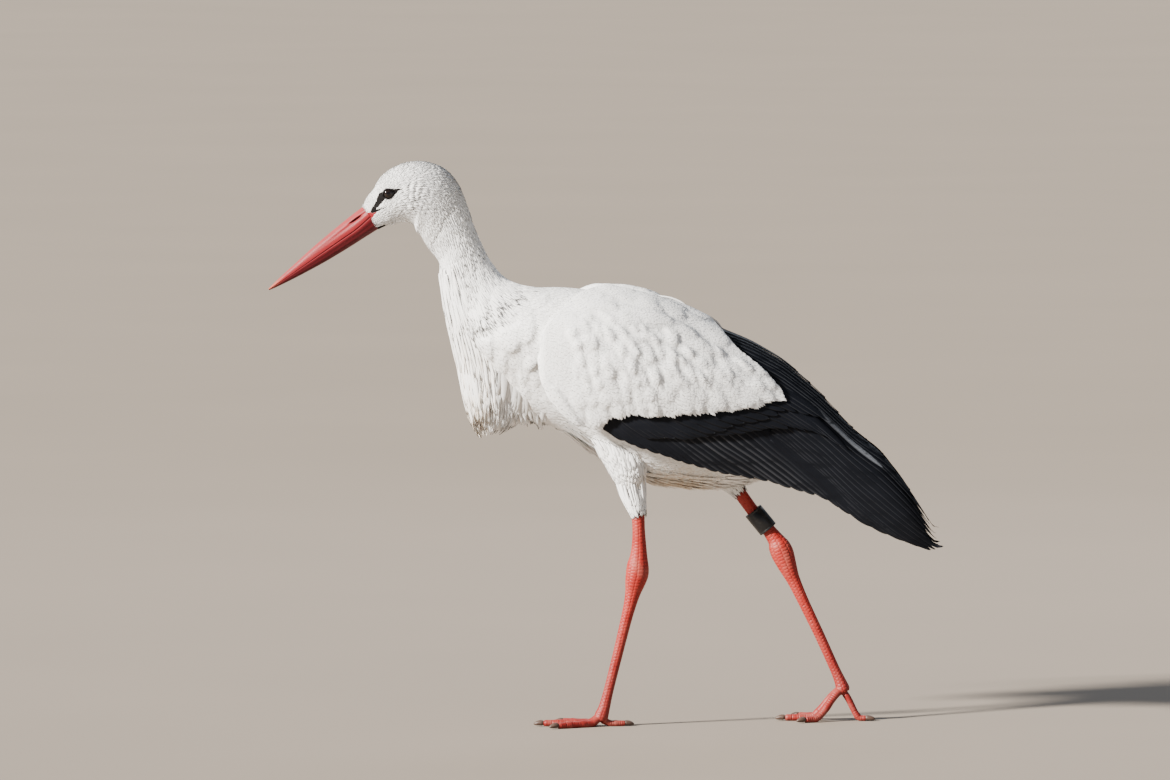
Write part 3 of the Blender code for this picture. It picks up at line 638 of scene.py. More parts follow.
def hang(starts, bends, ends, flat, wide, places, rng, rows, columns=3, camber=0.6, thick=0.6,
         shape=lance_leaf, facing=None):
    """Long locks on curves from their starts to their ends, flat across the given ways.

    Places are their roots' places on the map. With facings each lock turns its front that way and is lit
    like it.
    """
    u, v, is_lower, quads = leaf(rows, columns)
    t = u[None, :, None]
    points = starts[:, None] * (1 - t) ** 2 + bends[:, None] * 2 * t * (1 - t) + ends[:, None] * t * t
    ahead = unit((bends - starts)[:, None] * (1 - t) + (ends - bends)[:, None] * t)
    across = unit(flat[:, None] - ahead * (ahead * flat[:, None]).sum(-1, keepdims=True))
    out = np.cross(ahead, across)
    if facing is not None:
        turned = np.where((out.mean(1) * facing).sum(-1) < 0, -1.0, 1.0)[:, None, None]
        across, out = across * turned, out * turned
    half = shape(u) * v * (wide / 2)[:, None]
    height = camber * (1 - v**2) - is_lower * thick * (1 - 0.7 * u) * (0.3 + 0.7 * (1 - v**2))
    points = points + across * half[..., None] + out * np.broadcast_to(height, half.shape)[..., None]
    count = len(wide)
    made = [points.reshape(-1, 3), copies(quads, count, len(u)), leaf_places(v, u, count, rng),
            np.repeat(places, len(u), 0)]
    if facing is not None:
        made.append((facing[:, None] * (1 - is_lower)[None, :, None]).reshape(-1, 3))
    return made


def pillows(points, tips, ways, outs, sizes):
    """Relief of soft overlapping feathers at points.

    Sizes are lengths, widths and heights. Each feather rises towards its tip and is domed across, and the
    highest one at a place is seen there.
    """
    height = np.zeros(len(points))
    for tip, way, out, (long, wide, high) in zip(tips, ways, outs, sizes):
        off = points - tip
        u = 1 + off @ way / long
        v = off @ np.cross(out, way) / (wide / 2)
        end = np.hypot(v, np.maximum(u - 0.6, 0) / 0.4)
        inside = (1 - smoothstep(end, 0.68, 1.12)) * smoothstep(u, 0, 0.7) * (np.abs(off @ out) < 14)
        height = np.maximum(height, high * inside * (1 - 0.3 * np.minimum(v**2, 1)))
    return height


def reader(p, q, heights):
    """Looks up softened heights between the points of an even grid of p and q."""
    wide = np.pad(heights, 1, mode="edge")
    across = (wide[:-2] + 2 * wide[1:-1] + wide[2:]) / 4
    heights = (across[:, :-2] + 2 * across[:, 1:-1] + across[:, 2:]) / 4

    def read(a, b):
        i = np.clip((a - p[0]) / (p[1] - p[0]), 0, len(p) - 1.001)
        j = np.clip((b - q[0]) / (q[1] - q[0]), 0, len(q) - 1.001)
        m, n = np.floor(i).astype(int), np.floor(j).astype(int)
        i, j = i - m, j - n
        low = heights[m, n] * (1 - j) + heights[m, n + 1] * j
        high = heights[m + 1, n] * (1 - j) + heights[m + 1, n + 1] * j
        return low * (1 - i) + high * i
    return read


def bake_map(mesh, places, leaf_values):
    """The OFBake map: each vane a small patch at its root's place on the unwrap of what it grows from."""
    low, high = places.min(0), places.max(0)
    spread = 0.02 + 0.96 * (places - low) / np.maximum(high - low, 1e-9)
    spread = spread + 0.0015 * np.stack([leaf_values[:, 0], 2 * leaf_values[:, 1] - 1], -1)
    held = mesh.uv_layers.get("OFBake") or mesh.uv_layers.new(name="OFBake")
    held.data.foreach_set("uv", spread[corners_of(mesh)].astype(np.float32).ravel())


def coat_piece(name, batches, look, value, tell):
    """One object from batches of vanes, with a named value told from its points and their leaf places.

    A batch is points, faces, leaf places, root places on the map and, if its vanes are lit soft, facings.
    """
    points, faces, where, roots, facing, start = [], [], [], [], [], 0
    for batch in batches:
        points.append(batch[0])
        faces.append(outward(batch[0], batch[1]) + start)
        where.append(batch[2])
        roots.append(batch[3])
        facing.append(batch[4] if len(batch) > 4 else np.zeros_like(batch[0]))
        start += len(batch[0])
    points, where, roots, facing = (np.concatenate(part) for part in (points, where, roots, facing))
    made = mesh_of(name, points, np.concatenate(faces), look, {"leaf": where, value: tell(points, where)})
    bake_map(made.data, roots, where)
    if np.any(facing):
        made.data.normals_split_custom_set_from_vertices(unit(normals_of(made) * 0.22 + facing * 0.78))
    return made


def unstained(points, where):
    return np.zeros(len(points))


# Node trees

class Value:
    """A socket of a node tree; sums, differences and products of it make their own nodes."""

    def __init__(self, net, socket):
        self.net, self.socket = net, socket

    def other(self, name):
        return Value(self.net, pick(self.socket.node.outputs, name))

    def _math(self, operation, other, swapped=False):
        pair = (other, self) if swapped else (self, other)
        return self.net.node("ShaderNodeMath", {"operation": operation}, {0: pair[0], 1: pair[1]})

    def __add__(self, other):
        return self._math("ADD", other)

    def __radd__(self, other):
        return self._math("ADD", other)

    def __sub__(self, other):
        return self._math("SUBTRACT", other)

    def __rsub__(self, other):
        return self._math("SUBTRACT", other, True)

    def __mul__(self, other):
        return self._math("MULTIPLY", other)

    def __abs__(self):
        return self._math("ABSOLUTE", 0.0)

    def sine(self):
        return self._math("SINE", 0.0)


def pick(sockets, name):
    """The socket of a number, or the first one in use of a name."""
    if isinstance(name, int):
        return sockets[name]
    return next(s for s in sockets if s.name == name and s.enabled)


class Net:
    """A node tree, filled through one method and its short forms."""

    def __init__(self, tree):
        self.tree = tree

    def node(self, kind, settings=None, inputs=None, output=0):
        made = self.tree.nodes.new(kind)
        for name, value in (settings or {}).items():
            setattr(made, name, value)
        for name, value in (inputs or {}).items():
            socket = pick(made.inputs, name)
            if isinstance(value, Value):
                self.tree.links.new(value.socket, socket)
            elif socket.type == "RGBA" and len(value) == 3:
                socket.default_value = (*value, 1)
            else:
                socket.default_value = value
        if isinstance(output, str):
            return Value(self, pick(made.outputs, output))
        shown = [s for s in made.outputs if s.enabled]
        return Value(self, shown[output]) if shown else made

    def place(self):
        return self.node("ShaderNodeTexCoord", output="Object")

    def attribute(self, name, output="Fac"):
        return self.node("ShaderNodeAttribute", {"attribute_name": name}, output=output)

    def noise(self, scale, detail, vector=None):
        inputs = {"Vector": vector or self.place(), "Scale": scale, "Detail": detail, "Roughness": 0.55}
        return self.node("ShaderNodeTexNoise", inputs=inputs)

    def stretched(self, scale, vector=None):
        """Places scaled by a vector, for patterns longer one way."""
        return self.node("ShaderNodeMapping", inputs={"Vector": vector or self.place(), "Scale": scale})

    def step(self, value, low, high):
        """0 below low, 1 above high, smooth between."""
        return self.node(
            "ShaderNodeMapRange",
            {"interpolation_type": "SMOOTHSTEP"},
            {"Value": value, "From Min": low, "From Max": high},
        )

    def mix(self, share, a, b):
        return self.node("ShaderNodeMix", {"data_type": "RGBA"}, {"Factor": share, "A": a, "B": b}, "Result")

    def bump(self, height, strength, distance):
        inputs = {"Height": height, "Strength": strength, "Distance": distance}
        return self.node("ShaderNodeBump", inputs=inputs)

    def parts(self, name):
        """The three parts of a vector attribute."""
        split = self.node("ShaderNodeSeparateXYZ", inputs={0: self.attribute(name, "Vector")})
        return split, split.other("Y"), split.other("Z")


def material(name, build, **plain):
    """A material whose patterned sockets come from build, and whose even ones are set on the shader."""
    made = bpy.data.materials.new(name)
    made.use_nodes = True
    net = Net(made.node_tree)
    shader = made.node_tree.nodes["Principled BSDF"]
    for socket, value in plain.items():
        shader.inputs[socket.replace("_", " ")].default_value = value
    for socket, value in build(net).items():
        made.node_tree.links.new(value.socket, shader.inputs[socket])
    return made


def white_feather(net):
    """White vanes: fine barbs, faint shafts, warm and cool feathers, cream and rust where stained."""
    across, along, chance = net.parts("leaf")
    barbs = (along * 60 - abs(across) * 22 + chance * 7).sine() * 0.5 + 0.5
    clumps = net.noise(260, 2)
    tone = net.mix(chance, (0.89, 0.88, 0.855), (0.95, 0.945, 0.93))
    tone = net.mix(barbs * 0.04, tone, (0.70, 0.70, 0.70))
    tone = net.mix(net.step(clumps, 0.45, 0.7) * 0.08, tone, (0.78, 0.77, 0.75))
    stain = net.attribute("stain")
    streak = net.noise(1.0, 3, net.stretched((240, 240, 60)))
    cream = net.mix(net.step(streak, 0.35, 0.65), (0.86, 0.78, 0.66), (0.68, 0.52, 0.35))
    tone = net.mix(stain * net.step(streak + stain * 0.35, 0.35, 0.75), tone, cream)
    shaft = net.step(abs(across), 0.10, 0.0) * net.step(along, 0.95, 0.6)
    tone = net.mix(shaft * 0.18, tone, (0.62, 0.60, 0.56))
    height = barbs * 0.6 + net.noise(1500, 2) * 0.4
    return {"Base Color": tone, "Normal": net.bump(height, 0.25, 0.0004)}


def black_feather(net):
    """Black vanes: barbs at a slant to the shaft, a faint painted navy sheen, silvery worn edges and a painted
    sheen streak.
    """
    across, along, chance = net.parts("leaf")
    silver = net.attribute("silver")
    barbs = (along * 420 - abs(across) * 60 + chance * 5).sine() * 0.5 + 0.5
    patches = net.noise(1.0, 3, net.stretched((30, 30, 90)))
    # Painted sheen: patches of faint navy in the black's colour.
    tone = net.mix(patches, (0.0025, 0.003, 0.0045), (0.006, 0.007, 0.011))
    tone = net.mix(barbs * 0.3, tone, (0.008, 0.010, 0.015))
    # Silvery grey: real wear at the feather edges, and a painted sheen streak along the edge feather.
    tone = net.mix(silver * net.step(patches, 0.25, 0.5), tone, (0.17, 0.18, 0.20))
    shaft = net.step(abs(across), 0.045, 0.02)
    tone = net.mix(shaft * 0.5, tone, (0.018, 0.016, 0.015))
    height = barbs * 0.5 + shaft * 1.4 + net.noise(700, 2) * 0.3
    rough = 0.46 + patches * 0.2 - shaft * 0.1
    return {"Base Color": tone, "Roughness": rough, "Normal": net.bump(height, 0.3, 0.0006)}


def bird_skin(net):
    """Skin: pale under the white down, black and finely wrinkled where it is bare."""
    bare = net.attribute("bare")
    grain = net.noise(900, 3)
    cells = {"Vector": net.place(), "Scale": 700.0}
    wrinkles = net.node("ShaderNodeTexVoronoi", {"feature": "DISTANCE_TO_EDGE"}, cells)
    pale = net.mix(grain, (0.82, 0.81, 0.78), (0.90, 0.89, 0.87))
    black = net.mix(grain, (0.0025, 0.0022, 0.0022), (0.010, 0.0085, 0.008))
    tone = net.mix(net.step(bare, 0.35, 0.6), pale, black)
    red = net.step(net.attribute("gape"), 0.35, 0.6) * net.step(bare, 0.6, 0.3)
    tone = net.mix(red, tone, (0.24, 0.016, 0.020))
    height = net.step(wrinkles, 0.0, 0.25) * 0.7 + grain * 0.5
    rough = 0.8 - bare * 0.2
    return {"Base Color": tone, "Roughness": rough, "Normal": net.bump(height, 0.5, 0.0004)}


def bill_horn(net):
    """Red horn: fine grooves along it, a painted highlight on the ridge, an orange tip, painted shade on the
    lower half and along mouth and nostril.
    """
    along, high, edge = net.parts("along")
    grooves = net.noise(1.0, 4, net.stretched((6, 160, 160), net.attribute("straight", "Vector")))
    blotches = net.noise(70, 4)
    tone = net.mix(blotches, (0.17, 0.007, 0.011), (0.26, 0.014, 0.018))
    tone = net.mix(net.step(grooves, 0.45, 0.75) * 0.3, tone, (0.32, 0.04, 0.042))
    # Painted highlight: paler along the top of the ridge.
    tone = net.mix(net.step(high, 0.7, 1.0) * 0.35, tone, (0.44, 0.12, 0.115))
    tone = net.mix(net.step(along, 0.82, 1.0) * 0.6, tone, (0.52, 0.10, 0.035))
    # Painted shade: darker over the lower mandible.
    tone = net.mix(net.step(high, 0.1, -0.3) * 0.8, tone, (0.055, 0.004, 0.007))
    # Painted shade: dark along the mouth line, on the flat between the mandibles and in the nostril slit.
    tone = net.mix(net.step(edge, 0.5, 1.0) * 0.9, tone, (0.03, 0.004, 0.006))
    height = grooves * 0.8 + net.noise(500, 3) * 0.3
    rough = 0.34 + blotches * 0.22 + edge * 0.5
    return {"Base Color": tone, "Roughness": rough, "Normal": net.bump(height, 0.35, 0.0006)}


def eye_gloss(net):
    """A dark brown iris round a black pupil, under a clear wet front."""
    reach = net.attribute("reach")
    angle = net.attribute("spoke")
    fibres = net.noise(1.0, 3, net.node("ShaderNodeCombineXYZ", inputs={"X": reach * 3, "Y": angle * 14}))
    iris = net.mix(fibres, (0.004, 0.002, 0.0015), (0.014, 0.007, 0.004))
    pupil = net.step(reach, 0.44, 0.40)
    rim = net.step(reach, 0.80, 0.92)
    tone = net.mix(pupil, iris, (0.0015, 0.0015, 0.002))
    tone = net.mix(rim, tone, (0.006, 0.005, 0.005))
    return {"Base Color": tone, "Roughness": 0.09 + rim * 0.2}


def leg_scales(net):
    """Red leg skin: raised scutes with painted shade in the creases between them, duller with pale dust at the
    joints and soles.
    """
    scute = net.attribute("scute")
    dusty = net.attribute("dusty")
    blotches = net.noise(60, 4)
    fine = net.noise(1400, 3)
    low = net.attribute("low")
    tone = net.mix(blotches, (0.26, 0.010, 0.008), (0.38, 0.024, 0.014))
    tone = net.mix(low * 0.6, tone, (0.16, 0.011, 0.009))
    # Painted shade: darker in the creases between the scutes.
    tone = net.mix(net.step(scute, 0.5, 0.0) * 0.6, tone, (0.16, 0.014, 0.012))
    tone = net.mix(dusty * net.step(blotches + fine * 0.4, 0.6, 0.95) * 0.4, tone, (0.36, 0.16, 0.12))
    tone = net.mix(net.step(fine, 0.60, 0.8) * 0.15, tone, (0.46, 0.12, 0.08))
    height = scute * 0.8 + fine * 0.35
    rough = 0.42 + blotches * 0.2
    return {"Base Color": tone, "Roughness": rough, "Normal": net.bump(height, 0.4, 0.0004)}


def claw_horn(net):
    """Dark horn with a fine mottled grain and fine relief."""
    grain = net.noise(300, 4)
    tone = net.mix(grain, (0.025, 0.015, 0.012), (0.12, 0.07, 0.05))
    relief = net.bump(net.noise(900, 3), 0.3, 0.0004)
    return {"Base Color": tone, "Roughness": 0.34 + grain * 0.3, "Normal": relief}


def ring_plastic(net):
    """Black moulded plastic, scuffed by grit, with dust in its scratches."""
    scuffs = net.noise(1.0, 5, net.stretched((300, 300, 1500)))
    dust = net.noise(120, 4)
    worn = net.step(scuffs, 0.62, 0.75)
    tone = net.mix(worn * 0.5, (0.010, 0.010, 0.011), (0.16, 0.16, 0.155))
    tone = net.mix(net.step(dust, 0.55, 0.8) * 0.25, tone, (0.20, 0.17, 0.14))
    return {"Base Color": tone, "Roughness": 0.35 + worn * 0.3, "Normal": net.bump(scuffs, 0.15, 0.0004)}


def studio_floor(net):
    """Plain matt floor."""
    return {"Base Color": net.mix(net.noise(1.2, 2), (0.235, 0.195, 0.155), (0.26, 0.215, 0.17))}


WHITE = material("white_feather", white_feather, Roughness=0.8, Specular_IOR_Level=0.15)
BLACK = material("black_feather", black_feather, Specular_IOR_Level=0.12)
SKIN = material("bird_skin", bird_skin, Specular_IOR_Level=0.06)
BILL_HORN = material("bill_horn", bill_horn, Specular_IOR_Level=0.25)
EYE_GLOSS = material("eye_gloss", eye_gloss, Specular_IOR_Level=0.3, Coat_Weight=0.5, Coat_Roughness=0.02)
LEG_SCALES = material("leg_scales", leg_scales, Specular_IOR_Level=0.35)
CLAW_HORN = material("claw_horn", claw_horn, Specular_IOR_Level=0.4)
RING_PLASTIC = material("ring_plastic", ring_plastic, Specular_IOR_Level=0.4)
FLOOR = material("studio_floor", studio_floor, Roughness=0.9)


# The skin under the feathers

# Strokes of bare skin on the side of the head: x and z of both ends, and the radius at each.
FACE = [
    (-303, 679, -290, 699, 2.2, 5.6),
    (-290, 699, -280, 703, 5.6, 6.4),
    (-279, 704, -264, 709, 5.5, 0.8),
    (-303, 678.5, -285, 684, 1.7, 1.0),
]
# The same of the red skin at the corner of the mouth.
GAPE = [(-306, 673.5, -298.5, 679, 4.6, 1.6)]


def strokes_on(points, strokes):
    """1 inside strokes seen from the side, 0 outside them."""
    found = np.zeros(points.shape[:-1])
    x, z = points[..., 0], points[..., 2]
    for x1, z1, x2, z2, r1, r2 in strokes:
        way = np.array([x2 - x1, z2 - z1], float)
        share = np.clip(((x - x1) * way[0] + (z - z1) * way[1]) / (way @ way), 0, 1)
        gap = np.hypot(x - x1 - share * way[0], z - z1 - share * way[1]) - (r1 + (r2 - r1) * share)
        found = np.maximum(found, 1 - smoothstep(gap, -0.8, 0.8))
    return found * (np.abs(points[..., 1]) > 6)


def bare_face(points):
    """1 on the bare black skin between bill and eye, round the eye and at the chin, 0 on feathered skin."""
    x = points[..., 0]
    chin = 1 - smoothstep(points[..., 2] - 0.62 * (points[..., 0] + 296), 659.5, 662)
    chin = chin * (1 - smoothstep(np.abs(points[..., 1]), 6, 10)) * (1 - smoothstep(x, -288, -283))
    return np.maximum(strokes_on(points, FACE), chin)


def coat_depth(s):
    """How thick the coat of small feathers is at stations."""
    return np.interp(s, [0, 1, 4, 9, 12, 16, 20, 27, 31], [0.6, 1.2, 1.6, 2.0, 3.0, 4.5, 5.5, 5, 4])


def face_relief(points):
    """Brow, hollow before the eye and the orbit's rim, as heights over the plain head."""
    x, z = points[..., 0], points[..., 2]
    far = np.hypot(x - EYE["x"], z - EYE["z"])
    orbit = -4.5 * (1 - smoothstep(far, 4.8, 6.6))
    brow = 1.3 * mound(x, z, (-281, 714), 13, 3.6)
    lores = -1.5 * mound(x, z, (-296, 691), 7, 6)
    cheek = mound(x, z, (-266, 684), 14, 8)
    ruffled = 0.45 * swell(x, z, 7, 3) * mound(x, z, (-256, 700), 20, 20) * smoothstep(far, 8, 14)
    return (orbit + brow + lores + cheek + ruffled) * smoothstep(np.abs(points[..., 1]), 8, 15)


def unwrap(s, turn):
    """Places of the body's points on a flat map: round it by its turn, along it by its length."""
    stations = np.linspace(0, TAIL_ENDS, 300)
    length = lengths_of(body(stations, 0))
    along = np.interp(s, stations, length) / length[-1]
    return np.stack([(np.asarray(turn) % 360) / 360, along], -1)


# Large soft feathers at each side of the breast: x and height of the tip, lean, length, width and height.
BREAST_LOBES = [
    (-116, 490, 0.08, 84, 33, 7.5),
    (-97, 503, 0.05, 56, 24, 7.0),
    (-146, 476, 0.10, 80, 18, 6.0),
    (-99, 467, -0.45, 36, 17, 5.5),
    (-131, 456, 0.05, 60, 20, 4.5),
    (-160, 446, 0.08, 96, 14, 5.0),
]


def find_on_body(x, z):
    """Station and turn of the body's side at places seen from the side."""
    s, turn = np.meshgrid(np.linspace(11, 24, 200), np.linspace(2, 178, 120), indexing="ij")
    grid = body(s, turn)
    far = (grid[..., 0].ravel() - x[:, None]) ** 2 + (grid[..., 2].ravel() - z[:, None]) ** 2
    near = far.argmin(1)
    return s.ravel()[near], turn.ravel()[near]


def thigh_place(side, share, turn):
    """Places of a thigh's points on the same map, from their share of its length and their turn."""
    return np.stack([0.02 + (side == RIGHT) * 0.5 + turn / 360 * 0.4, 0.6 + 0.3 * share], -1)


# Points of the thighs have their station plus this.
THIGH_STATIONS = 100


def skin_samples():
    """Points of body and thighs with the lie of their feathers, their place on the map and their station."""
    s, turn = np.meshgrid(np.linspace(0, TAIL_ENDS, 420), np.arange(0, 360, 3.0), indexing="ij")
    depth = -coat_depth(s)
    lie = unit(body(s + 0.05, turn, depth) - body(np.maximum(s - 0.05, 0), turn, depth))
    made = [(body(s, turn, depth), lie, unwrap(s, turn), s)]
    for side, leg in LEGS.items():
        surface, last = limb(leg["thigh"]), len(leg["thigh"]) - 1
        s, turn = np.meshgrid(np.linspace(0, last, 60), np.arange(0, 360, 8.0), indexing="ij")
        lie = unit(surface(s + 0.05, turn, -3.0) - surface(s - 0.05, turn, -3.0))
        made.append((surface(s, turn, -3.0), lie, thigh_place(side, s / s.max(), turn), THIGH_STATIONS + s))
    return [np.concatenate([part[k].reshape(-1, *part[k].shape[2:]) for part in made]) for k in range(4)]


def breast_lobes(rng):
    """Tips, ways, ways out and sizes of the soft feathers over each side of the breast."""
    made = []
    rows = [BREAST_LOBES]
    for z in range(424, 562, 15):
        x = np.arange(-158 + z % 4 * 3, -72, 14.0)
        x = x + rng.uniform(-4, 4, len(x))
        ends = ((-6, 6), (-0.2, 0.25), (38, 56), (14, 21), (0.8, 2.6))
        drawn = [rng.uniform(low, high, len(x)) for low, high in ends]
        rows.append(np.stack([x, z + drawn[0], *drawn[1:]], -1))
    x, z, lean, long, wide, high = np.concatenate(rows).T
    low = find_on_body(x, z)
    above = find_on_body(x - long * np.sin(lean), z + long * np.cos(lean))
    for side in (LEFT, RIGHT):
        tip = body(low[0], side * low[1], -5.0)
        way = unit(tip - body(above[0], side * above[1], -5.0))
        out = unit(body(low[0], side * low[1], -4.0) - tip)
        made.append((tip, way, out, np.stack([long, wide, high], -1)))
    return [np.concatenate(part) for part in zip(*made)]


def breast_relief():
    """Heights of the breast's soft feathers over the skin, by station and turn."""
    s, turn = np.linspace(11, 23, 240), np.linspace(0, 360, 181)
    places = body(s[:, None], turn[None], -5.0).reshape(-1, 3)
    height = pillows(places, *breast_lobes(np.random.default_rng(21)))
    hollow = (1 - smoothstep(places[:, 2], 460, 515)) * smoothstep(places[:, 2], 412, 455)
    height = height - 8 * hollow * (1 - smoothstep(places[:, 0], -80, -30))
    return reader(s, turn, height.reshape(len(s), len(turn)))


BREAST_RELIEF = breast_relief()


def ground(s, turn, out=0.0):
    """The skin of head, neck and body, as deep under the outline as the coat is, moved out."""
    return body(s, turn, out - coat_depth(s) + BREAST_RELIEF(s, np.asarray(turn) % 360))


def make_skin():
    """Head, neck, body, tail root and thighs as one closed skin, with what the feathers read from it."""
    s = np.concatenate([np.linspace(0, HEAD_ENDS, 130), np.linspace(HEAD_ENDS, TAIL_ENDS, 190)[1:]])
    turn = np.arange(144) * 360 / 144
    stations, turns = np.meshgrid(s, turn, indexing="ij")
    grid = ground(stations, turns, face_relief(body(stations, turns)))
    middle = grid[0].mean(0)
    ahead = unit(middle - grid[1].mean(0))
    lip = [middle + (grid[0] - middle) * (1 - 0.13 * (1 - math.sin(a))) + ahead * 2.4 * math.cos(a)
           for a in np.linspace(0, math.pi / 2, 7)[:-1]]
    skin = closed_tube("skin", np.concatenate([lip, grid]))
    thighs = []
    for leg in LEGS.values():
        last = len(leg["thigh"]) - 1
        stations, turns = np.meshgrid(np.linspace(0, last, 50), np.arange(40) * 9.0, indexing="ij")
        thighs.append(closed_tube("thigh", limb(leg["thigh"])(stations, turns, -3.0)))
    union(skin, thighs)
    dress(skin.data, SKIN)
    points = points_of(skin)
    samples = skin_samples()
    near = nearest(points, samples[0])
    lie, place, station = (part[near] for part in samples[1:])
    add_values(skin.data, {
        "lie": lie,
        "place": np.column_stack([place, np.zeros(len(place))]),
        "station": station,
        "bare": bare_face(points),
        "gape": strokes_on(points, GAPE),
    })
    bake_map(skin.data, place, np.full((len(place), 2), 0.5))
    return skin


def under_wings(points):
    """1 where the folded wings hide the body's surface."""
    x, y, z = points[:, 0], np.abs(points[:, 1]), points[:, 2]
    top, middle, lower, half = (np.interp(x, WING_ROWS[:, 0], WING_ROWS[:, k]) for k in range(1, 5))
    share = np.where(z >= middle, (z - middle) / (top - middle), -(middle - z) / (middle - lower))
    lowest = np.interp(x, [-80, -60, -36, -22, 14, 242, 312], [0.1, 0.4, 0.68, 0.8, 0.86, 0.66, 0.25])
    highest = np.interp(x, [-95, -66, -36, -3, 70, 80], [0.0, 0.35, 0.66, 0.72, 0.78, 0.9])
    return (x > -68) & (share > -lowest) & (share < highest) & (y < half + 4)


# Small feathers: one tree of geometry nodes scatters them over the skin

def blade(name, rows, columns, shape, bend):
    """One feather of unit length and width along +X, which the coat repeats."""
    u, v, is_lower, quads = leaf(rows, columns)
    z = -bend * u**2 + (1 - v**2) * 0.5 - is_lower * (0.3 + 0.7 * (1 - v**2)) * 0.8
    points = np.stack([u, shape(u) * v / 2, z], -1)
    made = mesh_of(name, points, outward(points, quads), values={"leaf": np.stack([v, u, u * 0], -1)})
    made.data.vertices.foreach_set("co", points.astype(np.float32).ravel())
    made.data.update()
    return made


def coat_tree():
    """Scatters a blade over a skin, lying along its lie, each with its own size and turn."""
    tree = bpy.data.node_groups.new("feather_coat", "GeometryNodeTree")
    face = tree.interface
    kinds = {"Skin": "Geometry", "Blade": "Object", "Look": "Material", "Seed": "Int"}
    for name in ("Skin", "Blade", "Look", "Spacing", "Long", "Wide", "Thick", "Lift", "Stray", "Seed"):
        face.new_socket(name, in_out="INPUT", socket_type="NodeSocket" + kinds.get(name, "Float"))
    face.new_socket("Coat", in_out="OUTPUT", socket_type="NodeSocketGeometry")
    net = Net(tree)
    given = net.node("NodeGroupInput", output="Skin")

    def named(name, kind="FLOAT"):
        return net.node("GeometryNodeInputNamedAttribute", {"data_type": kind}, {"Name": name}, "Attribute")

    def chance(low, high, seed):
        ends = {"Min": low, "Max": high, "Seed": seed}
        return net.node("FunctionNodeRandomValue", {"data_type": "FLOAT"}, ends, "Value")

    def told(geometry, name, kind, value):
        settings = {"data_type": kind, "domain": "POINT"}
        inputs = {"Geometry": geometry, "Name": name, "Value": value}
        return net.node("GeometryNodeStoreNamedAttribute", settings, inputs)

    spread = net.node("GeometryNodeDistributePointsOnFaces", {"distribute_method": "POISSON"}, {
        "Mesh": given,
        "Distance Min": given.other("Spacing"),
        "Density Max": 3e6,
        "Density Factor": named("share"),
        "Seed": given.other("Seed"),
    }, "Points")
    normal = spread.other("Normal")
    points = told(spread, "chance", "FLOAT", chance(0.0, 1.0, 1))
    points = told(points, "facing", "FLOAT_VECTOR", normal)
    lay_along = net.node(
        "FunctionNodeAxesToRotation",
        {"primary_axis": "Z", "secondary_axis": "X"},
        {"Primary Axis": normal, "Secondary Axis": named("lie", "FLOAT_VECTOR")},
    )
    lifted = given.other("Lift") * chance(-1.35, -0.65, 2)
    strayed = given.other("Stray") * chance(-1.0, 1.0, 3)
    rolled = chance(-0.12, 0.12, 4)
    turned = net.node("FunctionNodeRotateRotation", {"rotation_space": "LOCAL"}, {
        "Rotation": lay_along,
        "Rotate By": net.node("ShaderNodeCombineXYZ", inputs={"X": rolled, "Y": lifted, "Z": strayed}),
    })
    size = named("size")
    scale = net.node("ShaderNodeCombineXYZ", inputs={
        "X": given.other("Long") * (size * chance(0.8, 1.15, 5)),
        "Y": given.other("Wide") * size * chance(0.85, 1.2, 6),
        "Z": given.other("Thick") * size,
    })
    one = net.node("GeometryNodeObjectInfo", inputs={"Object": given.other("Blade")}, output="Geometry")
    placed = net.node("GeometryNodeInstanceOnPoints", inputs={
        "Points": points, "Instance": one, "Rotation": turned, "Scale": scale})
    real = net.node("GeometryNodeRealizeInstances", inputs={"Geometry": placed})
    look = given.other("Look")
    dressed = net.node("GeometryNodeSetMaterial", inputs={"Geometry": real, "Material": look})
    net.node("NodeGroupOutput", inputs={0: dressed})
    return tree


COAT_TREE = coat_tree()


# What the skin tells the coats, and nothing else.
COAT_VALUES = ("lie", "place", "share", "size", "station")


def drop(mesh, names):
    for name in names:
        mesh.attributes.remove(mesh.attributes[name])


def grow(name, skin, share, size, one, spacing, long, wide, thick, lift, stray, seed, smooth,
         stain=unstained):
    """A coat of small feathers over the part of the skin that share names.

    Spacing, long, wide and thick are millimetres, lift and stray degrees. Smooth is how far the feathers are
    lit like the skin under them, from 0 to 1.
    """
    add_values(skin.data, {"share": share, "size": size})
    base = link(skin.data.copy(), name)
    change = base.modifiers.new("coat", "NODES")
    change.node_group = COAT_TREE
    wanted = {"Blade": one, "Look": WHITE, "Spacing": spacing * MM, "Long": long * MM, "Wide": wide * MM,
              "Thick": thick * MM, "Lift": math.radians(lift), "Stray": math.radians(stray), "Seed": seed}
    for item in COAT_TREE.interface.items_tree:
        if item.in_out == "INPUT" and item.name in wanted:
            change[item.identifier] = wanted[item.name]
    evaluated(base)
    mesh = base.data
    where = values_of(mesh, "leaf", 3)
    where[:, 2] = values_of(mesh, "chance")
    place = values_of(mesh, "place", 3)[:, :2].astype(float)
    add_values(mesh, {"leaf": where, "stain": stain(points_of(base), where)})
    bake_map(mesh, place, where)
    own, facing = normals_of(base), unit(values_of(mesh, "facing", 3))
    facing = facing * ((own * facing).sum(-1, keepdims=True) > -0.3)
    drop(mesh, (*COAT_VALUES, "bare", "gape", "chance", "facing"))
    dress(mesh, WHITE)
    mesh.normals_split_custom_set_from_vertices(unit(own * (1 - smooth) + facing * smooth))
    return base


